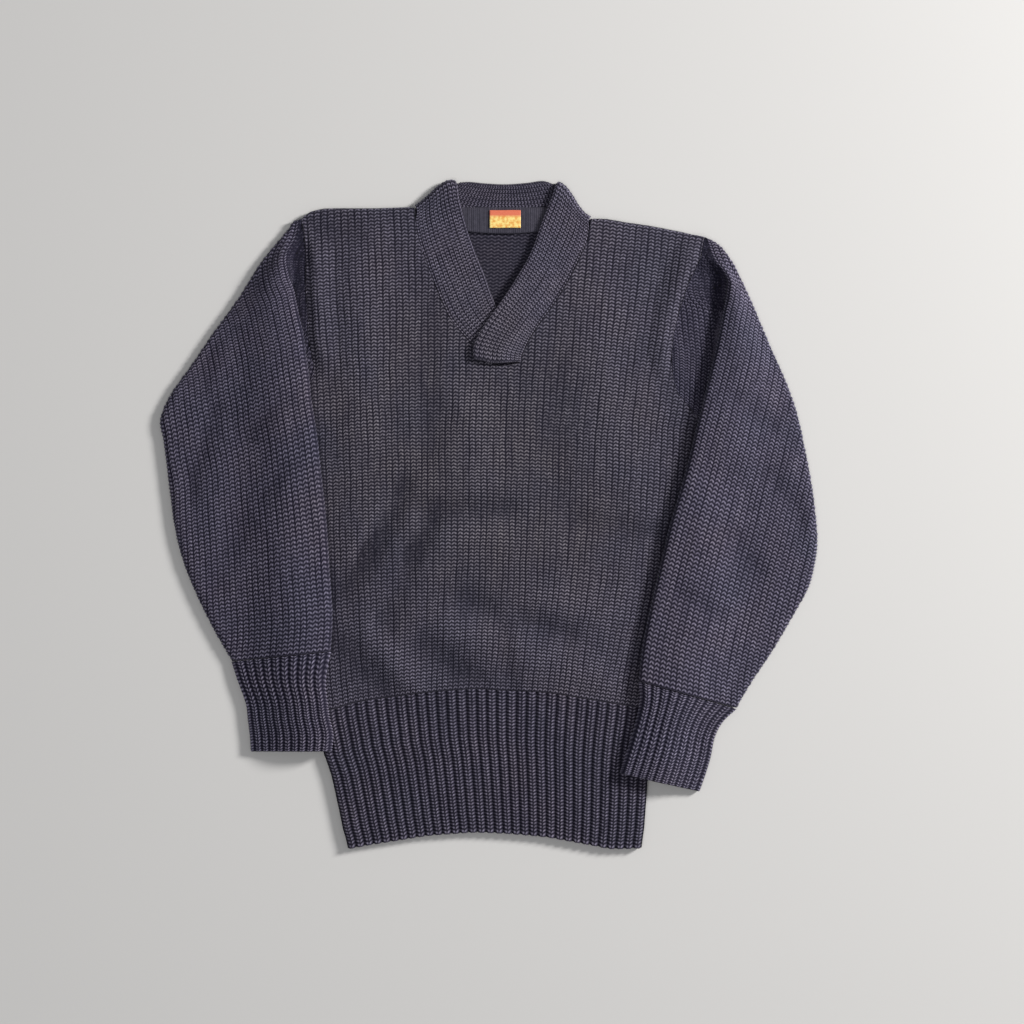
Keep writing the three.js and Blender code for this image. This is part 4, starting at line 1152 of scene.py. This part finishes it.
def knit_tree():
    """Raises the stitches of a cloth whose points know their wale, course and hold."""
    tree, w, given = new_tree(
        "knit stitches", "GeometryNodeTree",
        [("Cloth", "NodeSocketGeometry", None), ("Stitch depth", "NodeSocketFloat", 0.0009),
         ("Crest", "NodeSocketFloat", 0.25), ("Tip dip", "NodeSocketFloat", 0.3),
         ("Foot dip", "NodeSocketFloat", 0.8), ("Seam relief", "NodeSocketFloat", 0.5),
         ("Valley shade", "NodeSocketFloat", 0.0), ("Uneven", "NodeSocketFloat", 0.3),
         ("Seed", "NodeSocketInt", 1), ("Finish", "NodeSocketMaterial", None)],
        [("Cloth", "NodeSocketGeometry")])
    wale, course, hold, rib = map(w.attribute, ("wale", "course", "hold", "rib"))
    leg = abs(w.math("FRACT", wale) * 2.0 - 1.0)
    wave = w.math("SINE", (course - leg * LEAN) * math.pi)
    row = wave * wave
    side = leg * 2.0 - 1.0
    tip = w.math("MAXIMUM", side, 0.0) * given["Tip dip"]
    # Some gaps between wales stand open and others are closed
    lane = w.noise(w.vector(wale * 0.8, course * 0.07), 1.0, seed=given["Seed"])
    open_lane = (lane - 0.5) * 2.6 + 0.9
    foot = w.math("MINIMUM", side, 0.0) * given["Foot dip"] * open_lane
    face = row * (1.0 - tip + foot)
    reverse = (1.0 - row) * (abs(side) * 0.3 + 0.7)
    purl = w.math("LESS_THAN", hold, -0.001)
    height = w.signal("ShaderNodeMix", "Result", data_type="FLOAT",
                      sockets={"Factor": purl, "A": face, "B": reverse})
    spot = w.signal("GeometryNodeInputPosition", 0)
    swing = (w.noise(spot, 260, 1, seed=given["Seed"] * 7.31) - 0.5) * 2.0
    raised = height * (swing * given["Uneven"] + 1.0)
    open_cloth = abs(hold)
    amount = (raised - (1.0 - given["Crest"])) * given["Stitch depth"] * open_cloth
    push = w.signal("ShaderNodeVectorMath", 0, operation="SCALE",
                    sockets={0: w.signal("GeometryNodeInputNormal", 0), "Scale": amount})
    moved = w.signal("GeometryNodeSetPosition", 0, sockets={"Geometry": given["Cloth"], "Offset": push})
    relief = raised * open_cloth + (1.0 - open_cloth) * given["Seam relief"]
    # Painted shade, kept with the relief for the wool's colour: darker in the valleys of the ribs and on
    # the purl side of the back's upper layer
    shaded = 1.0 - ((1.0 - rib) * given["Valley shade"] + purl * 0.4)
    stored = w.signal("GeometryNodeStoreNamedAttribute", 0, data_type="FLOAT", domain="POINT",
                      sockets={"Geometry": moved, "Name": "relief", "Value": relief * shaded})
    real = w.signal("GeometryNodeRealizeInstances", 0, stored)
    finish = w.signal("GeometryNodeSetMaterial", 0,
                      sockets={"Geometry": real, "Material": given["Finish"]})
    w.node("NodeGroupOutput", finish)
    return tree


def settle(piece, tree, **sizes):
    """Run a tree on a piece and keep the result as the piece's own plain mesh."""
    modifier = piece.modifiers.new(tree.name, "NODES")
    modifier.node_group = tree
    for socket in tree.interface.items_tree:
        key = socket.name.lower().replace(" ", "_")
        if socket.in_out == "INPUT" and key in sizes:
            modifier[socket.identifier] = sizes[key]
    graph = bpy.context.evaluated_depsgraph_get()
    mesh = bpy.data.meshes.new_from_object(piece.evaluated_get(graph), preserve_all_data_layers=True,
                                           depsgraph=graph)
    piece.modifiers.remove(modifier)
    plain = piece.data
    piece.data = mesh
    bpy.data.meshes.remove(plain)
    mesh.name = piece.name
    return piece


# Finishes

def yarn_group():
    """Fine height and tone of a soft woollen yarn, from its plies and loose fibres."""
    tree, w, given = new_tree(
        "woollen yarn", "ShaderNodeTree",
        [("Plies", "NodeSocketFloat", 4.0), ("Fibre size", "NodeSocketFloat", 1400.0)],
        [("Height", "NodeSocketFloat"), ("Tone", "NodeSocketFloat")])
    wale, course = map(w.attribute, ("wale", "course"))
    leg = abs(w.math("FRACT", wale) * 2.0 - 1.0)
    ply = w.math("SINE", (leg * given["Plies"] + course) * (2 * math.pi))
    loose = w.noise(w.place(), given["Fibre size"], 5, 0.65) - 0.5
    w.node("NodeGroupOutput", sockets={
        "Height": ply * 0.25 + loose * 1.4, "Tone": ply * 0.18 + loose * 1.5})
    return tree


def tone_group():
    """Colour of dyed wool, pale on the crests, with slow random drifts of tone, and painted shade: near
    black in the grooves, darker in creases and hollows.
    """
    tree, w, given = new_tree(
        "wool colour", "ShaderNodeTree",
        [("Crest", "NodeSocketColor", (0.2, 0.19, 0.22, 1)),
         ("Worn crest", "NodeSocketColor", (0.2, 0.18, 0.18, 1)),
         ("Groove", "NodeSocketColor", (0.01, 0.01, 0.02, 1)),
         ("Tone", "NodeSocketFloat", 0.0), ("Heather", "NodeSocketFloat", 0.45),
         ("Depth", "NodeSocketFloat", 1.95)],
        [("Color", "NodeSocketColor"), ("Roughness", "NodeSocketFloat")])
    relief, wale, course, fold = map(w.attribute, ("relief", "wale", "course", "fold"))
    place = w.place()
    slow = w.noise(place, 14.0) - 0.5
    stitch = w.noise(w.vector(wale * 2.0, course), 1.0, 1.0) - 0.5
    streak = w.noise(w.vector(wale * 0.75, course * 0.07), 1.0) - 0.5
    # Random heather of the yarn, less painted shade from the fold mark: creases, hollows, pleats and lines
    # along the sleeves' edges
    heather_and_painted_shade = slow * 0.8 + stitch * 2.6 + streak * 1.6 - fold * 0.9
    shade = heather_and_painted_shade * given["Heather"] + given["Tone"] * 0.3
    # Painted shade in the grooves: the lower a point's relief, the nearer its colour comes to the
    # near-black groove colour
    level = w.math("POWER", w.math("MAXIMUM", relief, 0.0), given["Depth"]) * (shade + 1.0)
    from_worn = w.signal("ShaderNodeVectorMath", "Value", place, WORN_PLACE, operation="DISTANCE")
    worn = w.signal("ShaderNodeMapRange", 0, from_worn, *WORN_REACH, WORN_MOST, 0.0,
                    interpolation_type="SMOOTHSTEP")
    crest = w.mix(streak * 0.8 + (slow * 1.6 + worn), given["Crest"], given["Worn crest"])
    colour = w.mix(level, given["Groove"], crest, clamp_factor=False)
    tint = w.signal("ShaderNodeHueSaturation", 0, sockets={"Hue": slow * 0.08 + 0.5, "Color": colour})
    w.node("NodeGroupOutput", sockets={"Color": tint, "Roughness": stitch * 0.1 + 0.9})
    return tree


def new_material(name):
    """A material and the wiring of its tree."""
    material = bpy.data.materials.new(name)
    material.use_nodes = True
    return material, Wiring(material.node_tree)


def wool(name, groups, crest, groove):
    """Knitted wool, from the colour of its crests and the painted shade of its grooves."""
    yarn, tone = groups
    material, w = new_material(name)
    strand = w.node("ShaderNodeGroup", node_tree=yarn, sockets={"Plies": YARN_PLIES})
    colour = w.node("ShaderNodeGroup", node_tree=tone, sockets={
        "Crest": (*crest, 1), "Worn crest": (*np.multiply(crest, WORN_TINT), 1), "Groove": (*groove, 1),
        "Heather": HEATHER, "Depth": GROOVE_SHADE_POWER, "Tone": Signal(w, strand, "Tone")})
    raised = w.signal("ShaderNodeBump", "Normal", sockets={
        "Strength": 0.35, "Distance": 0.3 * MM, "Height": Signal(w, strand, "Height")})
    w.surface({
        "Base Color": Signal(w, colour, "Color"), "Roughness": Signal(w, colour, "Roughness"),
        "Normal": raised, "Specular IOR Level": 0.2, "Sheen Weight": 0.12, "Sheen Roughness": 0.6,
        "Sheen Tint": (0.75, 0.74, 0.85, 1)})
    return material


def label_finish():
    """Woven satin label: an orange-red band over a plain gold field."""
    material, w = new_material("woven label")
    place = w.place()
    parts = w.node("ShaderNodeSeparateXYZ", place)
    x, y = (Signal(w, parts, axis) for axis in ("X", "Y"))
    band = w.signal("ShaderNodeMapRange", 0, y, *(MM * (LABEL["y"] + up) for up in LABEL_BAND))
    field = w.node("ShaderNodeValToRGB", w.noise(place, 300))
    for stop, (position, colour) in zip(field.color_ramp.elements, LABEL_GOLDS.items()):
        stop.position = position
        stop.color = (*colour, 1)
    threads = w.math("SINE", x * 9600.0) * w.math("SINE", y * 11000.0)
    raised = w.signal("ShaderNodeBump", "Normal", sockets={
        "Strength": 0.3, "Distance": 0.1 * MM, "Height": threads})
    w.surface({
        "Base Color": w.mix(band, Signal(w, field, "Color"), (*LABEL_RED, 1)), "Normal": raised,
        "Roughness": 0.5, "Specular IOR Level": 0.4})
    return material


# Floor, light and camera

def make_floor():
    corners = np.array([(-1, -1, 0), (1, -1, 0), (1, 1, 0), (-1, 1, 0)])
    floor = mesh_object("floor", FLOOR_REACH * corners + [0, 0, FLOOR_HEIGHT], [(0, 1, 2, 3)])
    material, w = new_material("pale floor")
    w.surface({"Base Color": FLOOR_COLOUR, "Roughness": 0.8})
    floor.data.materials.append(material)


def add_light(name, spot, size, watts, colour=(1, 1, 1)):
    light = bpy.data.lights.new(name, "AREA")
    light.shape = "DISK"
    light.size = size
    light.energy = watts
    light.color = colour
    lamp = bpy.data.objects.new(name, light)
    lamp.location = spot
    lamp.rotation_euler = (-Vector(spot)).to_track_quat("-Z", "Y").to_euler()
    bpy.context.scene.collection.objects.link(lamp)


def make_camera():
    camera = bpy.data.cameras.new("camera")
    camera.sensor_width = 36
    camera.lens = camera.sensor_width * CAMERA_HEIGHT / PICTURE_WIDTH
    camera.clip_end = 50
    viewer = bpy.data.objects.new("camera", camera)
    viewer.location = (*PICTURE_CENTRE, CAMERA_HEIGHT)
    bpy.context.scene.collection.objects.link(viewer)
    bpy.context.scene.camera = viewer


def make_world():
    world = bpy.data.worlds.new("studio")
    world.use_nodes = True
    backdrop = world.node_tree.nodes["Background"]
    backdrop.inputs["Color"].default_value = (0.95, 0.97, 1.0, 1)
    backdrop.inputs["Strength"].default_value = 0.26
    bpy.context.scene.world = world


bpy.context.scene.view_settings.view_transform = "Standard"
make_camera()
make_world()
add_light("window", (3.3, 1.5, 1.7), 0.9, 232, (1.0, 0.99, 0.97))
add_light("overhead", (-0.4, -0.6, 2.8), 1.8, 17)
make_floor()

groups = (yarn_group(), tone_group())
body_wool, sleeve_wool, rib_wool, cuff_wool, tape_wool = (
    wool(name, groups, crest, groove) for name, (crest, groove) in WOOLS.items())
stitches = knit_tree()

front = settle(make_front(), stitches, stitch_depth=0.0011, crest=0.25, seed=1, finish=body_wool)
back = settle(make_back(), stitches, stitch_depth=0.0009, crest=0.0, seed=2, finish=body_wool)
sleeves = [settle(make_sleeve(name, rows), stitches, stitch_depth=0.0012, seed=seed, finish=sleeve_wool)
           for name, rows, seed in (("sleeve_right_knit", SLEEVE_RIGHT, 3),
                                    ("sleeve_left_knit", SLEEVE_LEFT, 4))]
cuffs = [settle(make_cuff(name, rows), stitches, stitch_depth=0.0009, valley_shade=0.9, seed=seed,
                finish=cuff_wool)
         for name, rows, seed in (("cuff_right_rib", CUFF_RIGHT, 5), ("cuff_left_rib", CUFF_LEFT, 6))]
bands = [settle(make_waistband("waistband_front_rib", FRONT_FLOOR, under=False), stitches,
                stitch_depth=0.0009, valley_shade=0.9, seed=7, finish=rib_wool),
         settle(make_waistband("waistband_back_rib", 0.0, under=True), stitches,
                stitch_depth=0.0008, crest=0.0, valley_shade=0.9, seed=8, finish=rib_wool)]
collar = settle(make_collar(), stitches, stitch_depth=0.0010, seed=9, finish=rib_wool)
tape = settle(make_tape(), stitches, stitch_depth=0.0005, crest=0.1, seed=10, finish=tape_wool)
label = settle(make_label(), stitches, stitch_depth=0.0, seed=11, finish=label_finish())

# Each piece with its node, its slot and the cut of what shows of it, in metres
for piece, node, slot, flat, held, rests_on, area in (
        (front, "front", "wool_knit", (0.46, 0.53), "laid", ["back_panel"], 0.19),
        (back, "back", "wool_knit", (0.46, 0.53), "laid", ["floor"], 0.205),
        (sleeves[0], "sleeve_right", "wool_knit", (0.42, 0.48), "folded", ["floor", "front_panel"], 0.125),
        (sleeves[1], "sleeve_left", "wool_knit", (0.42, 0.48), "folded", ["floor", "front_panel"], 0.125),
        (cuffs[0], "cuff_right", "rib_knit", (0.19, 0.105), "folded", ["floor"], None),
        (cuffs[1], "cuff_left", "rib_knit", (0.19, 0.105), "folded", ["floor"], None),
        (bands[0], "waistband_front", "rib_knit", (0.335, 0.15), "laid", ["waistband_back_rib"], None),
        (bands[1], "waistband_back", "rib_knit", (0.335, 0.15), "laid", ["floor"], None),
        (collar, "collar", "rib_knit", (0.60, 0.055), "folded", ["front_panel", "back_panel"], None),
        (tape, "neck_tape", "tape_knit", (0.097, 0.026), "laid", ["back_panel"], None),
        (label, "label", "label_weave", (0.0325, 0.0185), "laid", ["neck_tape_knit"], None)):
    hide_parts(node)
    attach(piece, "root")
